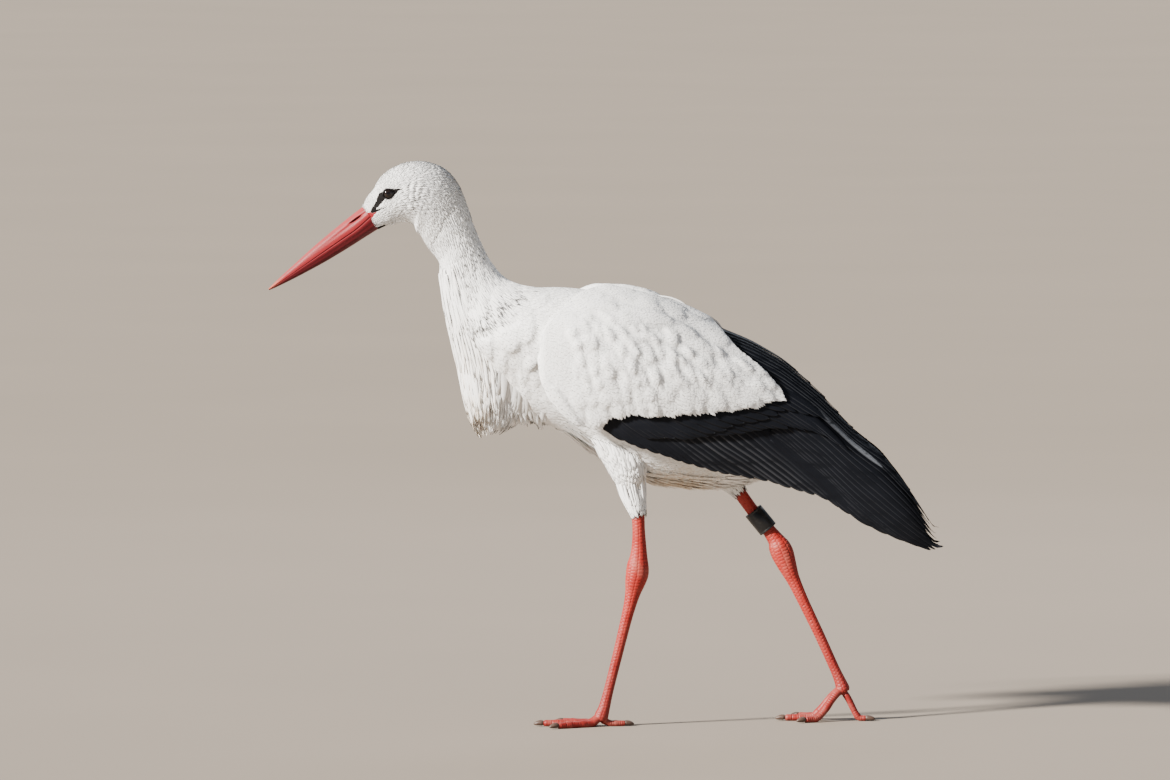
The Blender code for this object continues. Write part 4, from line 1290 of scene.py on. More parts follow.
def make_blades():
    """The three small feathers that the coats repeat."""
    fine, soft = [0, 0.5, 1.0], [0, 0.35, 0.75, 1.0]
    return {
        "fine": blade("fine_blade", fine, 3, lambda u: np.interp(u, fine, [0.7, 1.0, 0.12]), 0.35),
        "hair": blade("hair_blade", [0, 0.3, 0.65, 1.0], 3, lance_leaf, 0.9),
        "soft": blade("soft_blade", soft, 3, lambda u: np.interp(u, soft, [0.5, 0.9, 1.0, 0.25]), 0.9),
    }


def breast_stain(points, where):
    """Cream and rust on the long breast feathers, more towards their tips."""
    low = 1 - smoothstep(points[:, 2], 380, 520)
    front = 1 - smoothstep(points[:, 0], -150, -60)
    return np.clip(low * front * (0.35 + 0.65 * where[:, 1]), 0, 1) * 0.8


def belly_stain(points, where):
    """Rust between the legs, the same all along a feather."""
    return 0.95 * mound(points[:, 0], points[:, 2], (100, 315), 55, 26)


def make_coat(skin, blades):
    """Feathers of head, neck and thighs over the skin."""
    x, _, z = points_of(skin).T
    station, bare, gape = (values_of(skin.data, name).astype(float) for name in ("station", "bare", "gape"))
    is_thigh = station >= THIGH_STATIONS
    head = ~is_thigh * (station < HEAD_ENDS + 0.7) * (np.maximum(bare, gape) < 0.4)
    size = np.interp(station, [0, 1.5, 4, 9.7], [0.6, 0.75, 1.0, 1.35])
    size = size * (0.55 + 0.45 * smoothstep(np.hypot(x - EYE["x"], z - EYE["z"]), 6, 18))
    size = size * (1 + 0.35 * mound(x, z, (-262, 692), 16, 13))
    on_head = grow("head_feathers", skin, head, size, blades["fine"], spacing=1.2, long=6.3, wide=1.9,
                   thick=0.45, lift=10, stray=13, seed=11, smooth=0.6)
    neck = ~is_thigh * (station > HEAD_ENDS - 0.5) * (station < 16.5)
    neck = neck * (1 - 0.8 * smoothstep(station, 15.2, 16.5))
    size = np.interp(station, [8, 12, 16], [0.7, 1.0, 1.5])
    on_neck = grow("neck_feathers", skin, neck, size, blades["hair"], spacing=1.95, long=15, wide=2.4,
                   thick=0.45, lift=5, stray=6, seed=12, smooth=0.5, stain=breast_stain)
    size = np.interp(station - THIGH_STATIONS, [0, 3, 5], [1.1, 0.8, 0.5])
    on_thighs = grow("thigh_feathers", skin, is_thigh, size, blades["soft"], spacing=2.4, long=20, wide=4.4,
                     thick=0.4, lift=3.5, stray=6, seed=15, smooth=0.6, stain=belly_stain)
    return on_head, on_neck, on_thighs


def make_body_coat(name, first, last, gap, long, wide, rng, stain):
    """Soft vanes that follow the body between two stations, where the wings don't hide them."""
    s, turn = scatter(ground, (first, last), (0, 360), gap, rng)
    seen = ~under_wings(body(s, turn, -3.0))
    s, turn = s[seen], turn[seen]
    count = len(s)
    along = unit(ground(s + 0.05, turn) - ground(s - 0.05, turn))
    hangs = 1.1 * (1 - smoothstep(s, 18.5, 20.5))
    way = along + np.stack([np.zeros(count), rng.normal(0, 0.06, count), -hangs], -1)
    way = unit(way + rng.normal(0, 0.04, (count, 3)))
    long, wide = long * rng.uniform(0.8, 1.15, count), wide * rng.uniform(0.85, 1.2, count)
    vanes = silk(ground, s, turn, way, long, wide, rng, probe=(0.05, 1.0), lifted=0.2)
    vanes[3] = unwrap(*vanes[3].T)
    return coat_piece(name, [vanes], WHITE, "stain", stain)


# The breast's long feathers, the tufts and the tail

# The apron of long breast feathers: height, x of its front, depth from there to its side, and half width.
APRON = [
    (378, -160, 8, 4),
    (388, -167, 22, 15),
    (400, -173, 36, 25),
    (422, -180, 46, 33),
    (450, -187, 50, 37),
    (485, -192, 50, 38),
    (513, -200, 48, 38),
    (544, -208, 44, 36),
    (569, -213, 38, 32),
    (590, -216, 33, 29),
    (612, -219, 28, 27),
]
# Lower ends of the feathers behind it: x and height.
BREAST_EDGE = [
    (-142, 398), (-131, 404), (-120, 400), (-106, 390), (-92, 396), (-82, 388), (-67, 398), (-45, 382),
]


def apron(z, around, out=0.0):
    """Points of the breast's apron at heights and at turns in degrees from its front."""
    rows = np.asarray(APRON, float)
    front, depth, half = (np.interp(z, rows[:, 0], rows[:, k]) for k in (1, 2, 3))
    around = np.radians(around)
    x = front + depth - (depth + out) * np.cos(around)
    return np.stack([x, (half + out) * np.sin(around), np.broadcast_to(z, x.shape)], -1)


def through(start, middle, end):
    """The bend point of a curve that passes a middle point half way."""
    return 2 * middle - (start + end) / 2


def apron_place(around, low):
    """Places of the apron's feathers on the map, from their turns and the heights of their tips."""
    return np.stack([0.5 + around / 400, np.interp(low, [380, 620], [0.52, 0.4])], -1)


def apron_core():
    """The closed form inside the apron, so that nothing shows through between its feathers."""
    core = apron(np.linspace(390, 606, 30)[:, None], np.arange(0, 360, 12)[None], -6.0)
    filler = closed_tube("filler", core)
    points, faces = points_of(filler), corners_of(filler.data).reshape(-1, 4)
    remove(filler)
    return points, faces, np.tile([0.0, 0.5, 0.5], (len(points), 1)), np.tile([0.5, 0.5], (len(points), 1))


def under_locks(tip, rng):
    """A layer of locks all round the core that end at about one height."""
    count = 96
    around = np.linspace(-180, 176, count) + rng.normal(0, 2, count)
    low = tip + rng.uniform(-4, 8, count)
    long = rng.uniform(46, 64, count)
    starts, ends = apron(low + long, around, -6.5), apron(low, around, -2.0)
    bends = apron(low + long / 2, around, -2.5)
    flat = unit(apron(low, around - 3) - apron(low, around + 3))
    facing = 0.4 * unit(apron(low, around, 1.0) - apron(low, around, 0.0))
    return hang(starts, bends, ends, flat, rng.uniform(6, 9, count), apron_place(around, low), rng,
                np.linspace(0, 1, 7), camber=0.4, thick=0.5, facing=facing)


def front_locks(tip, rng):
    """A layer of long pointed feathers down the front of the breast that end at about one height."""
    count = 62
    around = np.linspace(-88, 88, count) + rng.normal(0, 2.5, count)
    long = np.interp(tip, [384, 450, 554], [105, 92, 58]) * rng.uniform(0.85, 1.12, count)
    low = tip + rng.uniform(-7, 9, count) + 26 * np.abs(around / 90) ** 2.5
    starts = apron(np.minimum(low + long, rng.uniform(582, 612, count)), around, -4.5)
    sunk = np.interp(tip, [484, 554], [0, 1.6])
    strayed = around + rng.normal(0, 1.5, count)
    middles = apron(low + long * 0.5, strayed, rng.uniform(-1.5, 0.9, count) - sunk)
    ends = apron(low, around + rng.normal(0, 3, count), rng.uniform(-1, 2, count) - sunk)
    flat = unit(apron(low, around - 3) - apron(low, around + 3))
    wide = np.interp(tip, [384, 554], [8.5, 5.0]) * rng.uniform(0.75, 1.2, count)
    return hang(starts, through(starts, middles, ends), ends, flat, wide, apron_place(around, low), rng,
                np.linspace(0, 1, 10), 5, camber=0.8, thick=0.8)


def hanging_tufts(rng):
    """Feathers behind the apron that hang from under the breast to a soft lower edge."""
    edge = np.array(BREAST_EDGE, float)
    count = 420
    share = rng.uniform(-1, 1, count)
    x = rng.uniform(edge[0, 0] - 6, edge[-1, 0] + 8, count)
    low = np.interp(x, edge[:, 0], edge[:, 1]) + 14 * np.abs(share) ** 1.5 + rng.uniform(0, 12, count)
    station = np.interp(x, [-142, -122, -98, -61, -35], [18.4, 19.0, 19.6, 20.5, 21.1])
    starts = ground(station - 0.3, 180 + 46 * share, -4)
    bends = ground(station - 0.1, 180 + 40 * share, 2.0)
    bends[:, 2] = np.minimum(bends[:, 2], (starts[:, 2] + low) / 2)
    ends = np.stack([x + rng.uniform(-2, 7, count), -share * 26, low], -1)
    flat = unit(body(station + 0.1, 180 + 32 * share) - body(station - 0.1, 180 + 32 * share))
    flat = flat + rng.normal(0, 0.12, (count, 3))
    wide = rng.uniform(6, 10, count)
    facing = unit(np.stack([0 * wide, -0.75 * np.sign(share), 0.1 * (wide - 12.5)], -1))
    place = unwrap(station, 180 + 46 * share)
    return hang(starts, bends, ends, flat, wide, place, rng, np.linspace(0, 1, 7), camber=0.4, thick=0.4,
                facing=facing)


def make_breast(rng):
    """The breast's long feathers in layers from the deepest up, rusty towards their tips."""
    under_tips = (386, 398, 412, 428)
    front_tips = (384, 393, 403, 414, 426, 439, 453, 468, 484, 501, 518, 536, 554)
    batches = [apron_core()]
    batches += [under_locks(tip, rng) for tip in under_tips]
    batches += [front_locks(tip, rng) for tip in front_tips]
    batches.append(hanging_tufts(rng))

    def stain(points, where):
        low = 1 - smoothstep(points[:, 2], 390, 590)
        front = 1 - smoothstep(points[:, 0], -165, -110)
        tips = (0.12 + 0.88 * where[:, 1] ** 1.5) * (0.45 + 0.55 * where[:, 2])
        return np.clip(low * front * tips, 0, 1) * 0.85

    return coat_piece("breast_feathers", batches, WHITE, "stain", stain)


def make_thigh_tufts(rng):
    """Feathers that hang round the lower end of each thigh."""
    batches = []
    count = 260
    for side, leg in LEGS.items():
        surface = limb(leg["thigh"])
        last = len(leg["thigh"]) - 1
        station = rng.uniform(last - 2.6, last - 0.4, count)
        turn = rng.uniform(0, 360, count)
        starts = surface(station, turn, -4.0)
        bends = surface(np.minimum(station + 0.7, last), turn, 2.5)
        ahead = unit(surface(last, turn) - surface(last - 0.4, turn))
        ends = surface(last, turn, 0.8) + ahead * rng.uniform(-12, 9, count)[:, None]
        flat = unit(surface(station, turn - 5) - surface(station, turn + 5))
        facing = 0.2 * unit(surface(station, turn, 1.0) - surface(station, turn))
        place = thigh_place(side, station / last, turn)
        batches.append(hang(starts, bends, ends, flat, rng.uniform(3.2, 5.6, count), place, rng,
                            np.linspace(0, 1, 7), facing=facing))
    return coat_piece("thigh_tufts", batches, WHITE, "stain", unstained)


def make_belly_fringe(rng):
    """Looser feathers along the underside, which break the outline of belly and vent."""
    count = 520
    station = rng.uniform(20.6, 26.6, count)
    turn = 180 + rng.normal(0, 14, count)
    starts, bends = body(station, turn, -5), body(station + 0.35, turn, -1.5)
    end_station = station + rng.uniform(0.55, 0.9, count)
    ends = body(end_station, turn + rng.normal(0, 3, count), rng.uniform(-2.5, 1.8, count))
    flat = unit(body(station, turn + 3) - body(station, turn - 3))
    flat = flat + np.array([0, 0, 1.0]) * rng.uniform(-0.3, 0.3, (count, 1))
    facing = unit(body(station, turn, 1.0) - body(station, turn))
    made = hang(starts, bends, ends, flat, rng.uniform(3, 5.5, count), unwrap(station, turn), rng,
                np.linspace(0, 1, 8), camber=0.3, thick=0.4, facing=facing)
    return coat_piece("belly_fringe", [made], WHITE, "stain", belly_stain)


def make_tail(rng):
    """Twelve white tail feathers in a narrow fan, the middle ones on top."""
    batches = []
    count = 12
    for share in np.linspace(-1, 1, count):
        over = 9 * (1 - abs(share))
        root = np.array([[300, 8 * share, 370 + over]])
        tip = np.array([[398 + 0.4 * over, 20 * share, 288 + over]])
        bend = (root + tip) / 2 + np.array([[2, 0, 3]])
        flat, place = np.array([[0.0, 1.0, 0.1 * share]]), np.array([[0.5 + 0.2 * share, 0.97]])
        batches.append(hang(root, bend, tip, flat, np.array([25.0]), place, rng, np.linspace(0, 1, 30), 9,
                            camber=0.8, thick=0.7, shape=flight_leaf))
    return coat_piece("tail_feathers", batches, WHITE, "stain", unstained)


# The folded wings

# Height of the sheet under the white coverts, from the wing's envelope.
WHITE_GROUND = -5.4


def leaf_edge(table, x, column):
    """Angle of the upper edge, column 1, or the lower edge, column 2, of a leaf of the wing."""
    rows = np.asarray(table, float)
    return np.interp(x, rows[:, 0], rows[:, column])


def leaf_grid(table, rows, columns):
    """x and angle of a grid of points between the edges of a leaf of the wing."""
    x = np.linspace(table[0][0], table[-1][0], rows)
    upper, lower = leaf_edge(table, x, 1), leaf_edge(table, x, 2)
    angle = upper[:, None] + (lower - upper)[:, None] * np.linspace(0, 1, columns)
    return np.repeat(x[:, None], columns, 1), angle


def bed(x, angle, surface, inner):
    """The closed sheet under a wing's feathers: a grid of places on a surface, and a deeper back."""
    rows, columns = x.shape
    points = np.concatenate([surface(x, angle, out).reshape(-1, 3) for out in (0.0, inner)])
    index = np.arange(rows * columns).reshape(rows, columns)
    below = index + rows * columns
    front = np.stack([index[:-1, :-1], index[1:, :-1], index[1:, 1:], index[:-1, 1:]], -1).reshape(-1, 4)
    back = np.stack([below[:-1, :-1], below[:-1, 1:], below[1:, 1:], below[1:, :-1]], -1).reshape(-1, 4)
    rim = np.concatenate([index[0, :-1], index[:-1, -1], index[-1, :0:-1], index[:0:-1, 0]])
    after = np.roll(rim, -1)
    side = np.stack([rim, after, after + rows * columns, rim + rows * columns], -1)
    where = np.tile([0.0, 0.3, 0.5], (len(points), 1))
    places = np.tile(np.stack([x.ravel(), angle.ravel()], -1), (2, 1))
    return points, np.concatenate([front, back, side]), where, places


def on_wing(x, z):
    """Angle round the wing's envelope of places seen from the side."""
    top, middle, lower = (np.interp(x, WING_ROWS[:, 0], WING_ROWS[:, k]) for k in (1, 2, 3))
    up = np.degrees(np.arcsin(np.clip((z - middle) / (top - middle), -1, 1)))
    return np.where(z >= middle, up, -90 * np.clip((middle - z) / (middle - lower), 0, 1.02))


def edge_height(x):
    """Height of the lower edge of the white coverts."""
    return envelope(x, leaf_edge(WHITE_LEAF, x, 2))[..., 2]


def fall(x, angle):
    """How far below the level, seen from the side, the coverts point, in degrees."""
    low = np.interp(x, [-90, -20, 60, 120, 180, 244], [60, 76, 72, 63, 52, 38])
    return low * np.interp(angle, [-85, -30, 10, 35, 55, 75, 90], [1, 0.96, 0.88, 0.62, 0.42, 0.32, 0.30])


def dipping(below):
    """Ways that point the given degrees below the level, seen from the side."""
    below = np.radians(below)
    return np.stack([np.cos(below), 0 * below, -np.sin(below)], -1)


def lobes_on(surface, x, angle, below, *sizes):
    """Tips, ways along the wing, ways out and sizes of feathers that point some degrees below the level."""
    ahead, _ = steps_on(surface, x, angle, dipping(below))
    tips = surface(x, angle)
    ways = unit(surface(x + 2 * ahead[0], angle + 2 * ahead[1]) - tips)
    return tips, ways, unit(surface(x, angle, 1.0) - tips), np.stack(sizes, -1)


def tips_in_rows(rng, rows, x_step, first, last, jitter):
    """Tips scattered about rows at given heights over the lower edge of the white leaf."""
    places = []
    for number, up in enumerate(rows):
        x = np.arange(first + x_step * 0.5 * (number % 2), last, x_step)
        x = x + rng.uniform(-jitter, jitter, len(x))
        z = edge_height(x) + up + rng.uniform(-jitter, jitter, len(x))
        places.append(np.stack([x, on_wing(x, z)], -1))
    x, angle = np.concatenate(places).T
    keep = (x > -92) & (x < 244) & (angle < leaf_edge(WHITE_LEAF, x, 1) - 1)
    return x[keep], angle[keep]


# Large soft feathers of a wing: x and height of the tip, degrees below the level, length, width and height.
WING_LOBES = [
    (104, 534, 5, 115, 33, 5.0),
    (60, 538, 10, 74, 27, 4.4),
    (60, 515, 2, 50, 14, 3.6),
    (132, 516, 22, 84, 27, 4.0),
    (28, 558, 6, 92, 26, 3.4),
    (152, 494, 36, 74, 25, 3.6),
    (-10, 526, 28, 74, 26, 3.0),
    (-24, 386, 52, 126, 23, 5.0),
    (-44, 410, 56, 96, 17, 3.4),
    (18, 430, 66, 84, 24, 3.6),
]


def white_lobes(surface, rng):
    """Tips, ways, ways out and sizes of the soft feathers whose relief the white of a wing shows."""
    groups = []
    for up, step, long, wide in ((3, 16, 50, 20), (18, 15, 44, 19), (34, 14, 36, 17)):
        x, angle = tips_in_rows(rng, [up], step, -24, 240, 3.5)
        groups.append((x, angle, long, wide, 1.2, 3.6))
    x, angle = tips_in_rows(rng, np.arange(46, 150, 11.5), 13, -30, 240, 5)
    keep = (angle < 40) & (angle > -62 + 0.9 * np.abs(x + 20) * (x < -20))
    groups.append((x[keep], angle[keep], 32, 13, 0.4, 5.2))
    x = rng.uniform(-50, 176, 46)
    angle = np.minimum(rng.uniform(46, 90, 46), leaf_edge(WHITE_LEAF, x, 1) - 1)
    groups.append((x, angle, 54, 25, 1.0, 3.2))
    x, z, *given = np.array(WING_LOBES, float).T
    made = [lobes_on(surface, x, on_wing(x, z), *given)]
    for x, angle, long, wide, low, high in groups:
        count = len(x)
        below = fall(x, angle) + rng.normal(0, 5, count)
        long, wide = long * rng.uniform(0.8, 1.15, count), wide * rng.uniform(0.8, 1.25, count)
        made.append(lobes_on(surface, x, angle, below, long, wide, rng.uniform(low, high, count)))
    return [np.concatenate(part) for part in zip(*made)]


def white_ground(side, rng):
    """The surface under the white vanes of a wing: soft relief, tucked in at the front and the back."""
    plain = wing(side)
    x, angle = np.linspace(-96, 248, 173), np.linspace(-94, 92, 125)
    places = plain(x[:, None], angle[None], WHITE_GROUND)
    height = pillows(places.reshape(-1, 3), *white_lobes(plain, rng)).reshape(len(x), len(angle))
    front = 1 - smoothstep(x, -93, -74)
    top = 1 - smoothstep(leaf_edge(WHITE_LEAF, x, 1)[:, None] - angle[None], 0, 14)
    upper = 0.35 + 0.65 * smoothstep(angle, -45, 5)[None]
    tucked = 15 * front[:, None] ** 2 * upper + 16 * top * (1 - smoothstep(x, 35, 100))[:, None]
    relief = reader(x, angle, height - tucked)

    def point(x, angle, out=0.0):
        return plain(x, angle, out + WHITE_GROUND + relief(x, angle))
    return point


def make_coverts(side, rng):
    """The white of a wing: a sheet with the relief of its coverts, and the soft vanes that follow it."""
    name = SIDE_NAMES[side]
    surface = white_ground(side, rng)
    table = [(x + 2 * (x < -60) - 7 * (x > 230), upper - 2, lower + 2 + 4 * smoothstep(x, -30, 20))
             for x, upper, lower in WHITE_LEAF]
    points, faces, where, place = bed(*leaf_grid(table, 116, 66), surface, -2.5)
    sheet = mesh_of(f"covert_bed_{name}", points, outward(points, faces), WHITE,
                    {"leaf": where, "stain": np.zeros(len(points))})
    bake_map(sheet.data, place, where)
    x, angle = scatter(surface, (-92, 245), (-92, 90), 2.8, rng)
    scallop = 2.4 * np.abs(np.sin(x / 9.5 + 0.7 * np.sin(x / 23))) * smoothstep(x, -20, 20)
    lowest = leaf_edge(WHITE_LEAF, x, 2)
    keep = (angle < np.minimum(leaf_edge(WHITE_LEAF, x, 1) - 1, 87.5)) & (angle > lowest + scallop - 1)
    x, angle, up = x[keep], angle[keep], (angle - lowest)[keep]
    count = len(x)
    way = dipping(fall(x, angle) + 5 * swell(x, angle, 42, 31) + rng.normal(0, 3, count))
    long = np.interp(up, [0, 12, 40], [21, 17, 14]) * rng.uniform(0.8, 1.15, count)
    vanes = silk(surface, x, angle, way, long, rng.uniform(4.6, 6.4, count), rng)
    return sheet, coat_piece(f"covert_feathers_{name}", [vanes], WHITE, "stain", unstained)


# Long black feathers of a wing, from deep to shallow: how many, x and angle of the first and the last root,
# the same of the tips, width, and height at the tip.
FLIGHT_ROWS = {
    "primary": (8, (224, -46), (228, -8), (366, -86), (437, -80), 15, -9.9),
    "long primary": (8, (228, -4), (210, 40), (441, -66), (434, 42), 15, -9.5),
    "secondary": (22, (-52, -64), (226, -18), (28, -88), (360, -85), 15, -10.2),
    "greater covert": (24, (-6, -50), (196, 26), (66, -70), (326, 18), 16, -8.8),
    "median": (12, (60, -24), (190, 34), (150, -36), (300, 34), 18, -8.0),
    "tertial": (10, (118, 78), (176, 46), (262, 86), (428, 34), 22, -7.6),
    # The edge row is one black feather whose silver is a painted sheen streak.
    "edge": (1, (196, 46), (196, 46), (374, 29), (374, 29), 15, -6.6),
}


def silver_and_sheen_of(name, share, where, rng):
    """Silvery wear of a row of black feathers, and the painted sheen streak of the edge feather, from their
    shares of the row and the places on each.
    """
    across, along = where[:, 0], where[:, 1]
    if name == "secondary":
        worn = smoothstep(share, 0.30, 0.45) * (1 - smoothstep(share, 0.8, 0.95))
        worn = worn * rng.uniform(0.3, 1.0, len(share))
        return smoothstep(-across, 0.55, 0.95) * 0.34 * np.repeat(worn, len(where) // len(share))
    # Painted sheen: the edge feather silvery from its middle to its tip.
    if name == "edge":
        return smoothstep(along, 0.3, 0.8) * smoothstep(np.abs(across), 1.0, 0.5)
    return smoothstep(-across, 0.8, 1.0) * 0.12


def make_flight(side, rng):
    """Primaries, secondaries, black coverts and tertials of one folded wing."""
    surface = wing(side)
    root_height, bed_height = -12.9, -13.8

    def raised(x, angle, height=0.0):
        return surface(x, np.clip(angle, -92, 90), height + rise(x))

    def row_of(first, last, uneven, count):
        share = np.linspace(0, 1, count)
        return [first[k] + (last[k] - first[k]) * share + rng.normal(0, uneven[k], count) for k in (0, 1)]

    def sunk(x, angle, height):
        return raised(x, angle, height + bed_height)

    batches = [bed(*leaf_grid(BLACK_LEAF, 60, 40), sunk, -1.4)]
    silver = [np.zeros(len(batches[0][0]))]
    rows = np.concatenate([np.linspace(0, 0.84, 20), [0.88, 0.91, 0.94, 0.96, 0.98, 0.992, 1.0]])
    for name, (count, root_a, root_b, tip_a, tip_b, wide, height) in FLIGHT_ROWS.items():
        roots = row_of(root_a, root_b, (0.8, 0.3), count)
        tips = row_of(tip_a, tip_b, (4.5, 1.0) if "primary" in name else (1.6, 0.4), count)
        middle = [(root + tip) / 2 for root, tip in zip(roots, tips)]
        _, across = steps_on(surface, *middle, surface(*tips) - surface(*roots))
        made = lay(raised, flight_leaf, roots, tips, across, wide * rng.uniform(0.95, 1.08, count),
                   (root_height, height), rng, rows, 9, camber=0.45, thick=0.5, fray=0.010, tilt=0.11)
        batches.append(made)
        silver.append(silver_and_sheen_of(name, np.linspace(0, 1, count), made[2], rng))
    return coat_piece(f"flight_feathers_{SIDE_NAMES[side]}", batches, BLACK, "silver",
                      lambda points, where: np.concatenate(silver))


# Bill and eyes

def bill_frame():
    """Base of the bill, and the ways along and up it, seen from the side."""
    base, tip = np.array(BILL_BASE), np.array(BILL_TIP)
    along = (tip - base) / np.linalg.norm(tip - base)
    up = np.array([-along[1], along[0]])
    return base, along, up if up[1] > 0 else -up


def mandible(name, upper):
    """One half of the bill, with its ridge, the groove of its nostril and the edge of the mouth."""
    base, way, up = bill_frame()
    turns = np.linspace(0, math.pi, 49)
    across = np.linspace(-1, 1, 17)[1:-1]
    grid, told = [], []
    for along, culmen, mouth, under, half in at(BILL, np.linspace(0, len(BILL) - 1, 150)):
        flat = mouth + (0.12 if upper else -0.12)
        reach = (culmen if upper else under) - flat
        y = half * np.cos(turns)
        h = flat + reach * np.sin(turns) ** 0.85
        if upper:
            ridge = np.exp(-(np.cos(turns) / 0.22) ** 2)
            h = h + 0.35 * ridge * min(reach / 10, 1)
            groove = np.exp(-(((h - (flat + 0.52 * reach)) / (0.12 * reach)) ** 2)) * (along < 105)
            fade = math.exp(-((along - 18) / 46) ** 2)
            y = y * (1 - 0.10 * groove * fade)
            slit = np.exp(-(((along - NOSTRIL["along"]) / (NOSTRIL["long"] * 0.5)) ** 4))
            gap = np.exp(-(((h - NOSTRIL["height"]) / (NOSTRIL["high"] * 0.5)) ** 4))
            y = y - np.sign(y) * NOSTRIL["deep"] * slit * gap
            dark = slit * gap
        else:
            crease = np.exp(-(((h - (flat + 0.45 * reach)) / (0.14 * abs(reach))) ** 2))
            y = y * (1 - 0.05 * crease * (1 - smoothstep(along, 110, 150)))
            dark = np.zeros_like(y)
        # The edge value marks painted shade: along the mouth line, in the nostril slit and on the flat between
        # the mandibles.
        mouth_line_shade = np.exp(-((h - mouth) / 0.9) ** 2)
        y = np.concatenate([y, half * across])
        share = np.concatenate([(h - flat) / reach, 0 * across])
        edge = np.concatenate([np.maximum(mouth_line_shade, dark * 1.4), np.ones(len(across))])
        h = np.concatenate([h, np.full(len(across), flat)])
        x, z = (base[k] + way[k] * along + up[k] * h for k in (0, 1))
        grid.append(np.stack([x, y, z], -1))
        told.append(np.stack(alike(along / BILL[-1][0], share * (1 if upper else -1), edge), -1))
    made = closed_tube(name, np.array(grid), BILL_HORN)
    points = points_of(made)
    off = points[:, [0, 2]] - base
    straight = np.stack([off @ way, points[:, 1], off @ up], -1) / 100
    add_values(made.data, {"along": np.concatenate([told[0], *told, told[-1]]), "straight": straight})
    return made


def make_eye(side):
    """The eyeball, turned so that its front looks out, with a bulging clear front over iris and pupil."""
    polar = np.linspace(0.02, math.pi - 0.02, 40)
    p, t = np.meshgrid(polar, circle(48), indexing="ij")
    r = EYE["radius"] * (1 + 0.035 * (1 - smoothstep(p, 0.5, 0.85)))
    points = np.stack([r * np.sin(p) * np.cos(t), side * r * np.cos(p), r * np.sin(p) * np.sin(t)], -1)
    centre = np.array([EYE["x"], side * EYE["y"], EYE["z"]])
    made = closed_tube(f"eyeball_{SIDE_NAMES[side]}", points + centre, EYE_GLOSS)
    x, y, z = (points_of(made) - centre).T
    iris_radius, behind = 5.8, 2.0
    reach = np.where(side * y < 0, behind, np.hypot(x, z) / iris_radius)
    add_values(made.data, {"reach": reach, "spoke": np.arctan2(z, x)})
    return made


def make_lids(side):
    """Upper and lower lid round one eye: a rim of skin that narrows to a corner before and behind."""
    rings, sides = 96, 12
    lean = math.radians(24)
    points = []
    for turn in circle(rings):
        corner = abs(math.cos(turn)) ** 6
        reach = 5.9 + 1.4 * corner - 0.5 * math.sin(turn) ** 2
        across = np.array([math.cos(turn + lean), 0, math.sin(turn + lean)])
        centre = np.array([EYE["x"], side * (25.9 - 0.5 * corner), EYE["z"]]) + across * reach
        thick = 0.95 + 0.12 * math.sin(turn * 9) - 0.25 * corner
        for a in circle(sides):
            out = np.array([0, side * math.sin(a), 0])
            points.append(centre + thick * (1.25 * across * math.cos(a) + out))
    points = np.array(points)
    faces = outward(points, tube_faces(rings, sides, is_loop=True))
    return mesh_of(f"eyelids_{SIDE_NAMES[side]}", points, faces, SKIN, {"bare": np.ones(len(points))})


# Legs and feet

def toe_path(joint, heading, length, radius, root_height):
    """Centre line of one toe, from the foot's joint down to the ground and along it."""
    ahead = np.array([-math.cos(heading), -math.sin(heading)])
    reach = min(0.95 * max(root_height - radius, 0) + 10, 0.75 * length)
    along = np.linspace(0, length, 60)
    height = root_height + (radius - root_height) * smoothstep(along, 0, reach)
    return np.stack([joint[0] + ahead[0] * along, joint[1] + ahead[1] * along, height], -1)


def toe_frames(path):
    """Ways across and up a toe along its centre line."""
    ahead = unit(np.gradient(path, axis=0))
    across = unit(np.cross(ahead, [0, 0, 1.0]))
    return across, np.cross(across, ahead)


def toe_tube(path, radii, sides=28):
    """Rings round a centre line, flat where they would reach below the ground."""
    across, up = toe_frames(path)
    turns = circle(sides)
    ring = up[:, None] * np.cos(turns)[None, :, None] + 1.1 * across[:, None] * np.sin(turns)[None, :, None]
    grid = path[:, None] + ring * radii[:, None, None]
    grid[..., 2] = np.maximum(grid[..., 2], 0.0)
    return grid


def toe_plan(side):
    """Each toe's name, centre line and radii, fuller at its joints and pads."""
    x, z, y = LEGS[side]["bare"][-2][:3]
    root_height = z - 2
    for toe, spread, length, root, end in TOES:
        heading = math.radians(spread * side)
        lift = root_height - (4 if toe == "hind" else 0)
        path = toe_path((x, y), heading, length, end * 0.92, lift)
        share = np.linspace(0, 1, len(path))
        joints = (0.42, 0.72) if toe != "hind" else (0.6,)
        knuckle = sum(np.exp(-((share - j) / 0.055) ** 2) for j in joints)
        radii = (root + (end - root) * share) * (0.93 + 0.10 * knuckle)
        radii = radii * np.sqrt(np.clip((1.0 - share) / 0.05, 0.25, 1))
        yield toe, path, radii


def make_leg(side):
    """The bare leg and its toes as one skin of scutes."""
    rows = LEGS[side]["bare"]
    stations, turns = np.meshgrid(np.linspace(0, len(rows) - 1, 200), np.arange(40) * 9.0, indexing="ij")
    leg = closed_tube(f"leg_{SIDE_NAMES[side]}", limb(rows)(stations, turns))
    toes = [closed_tube("toe", toe_tube(path, radii)) for _, path, radii in toe_plan(side)]
    skin = remeshed(leg, toes, 0.8)
    raise_scutes(skin, side)
    dress(skin.data, LEG_SCALES)
    return skin


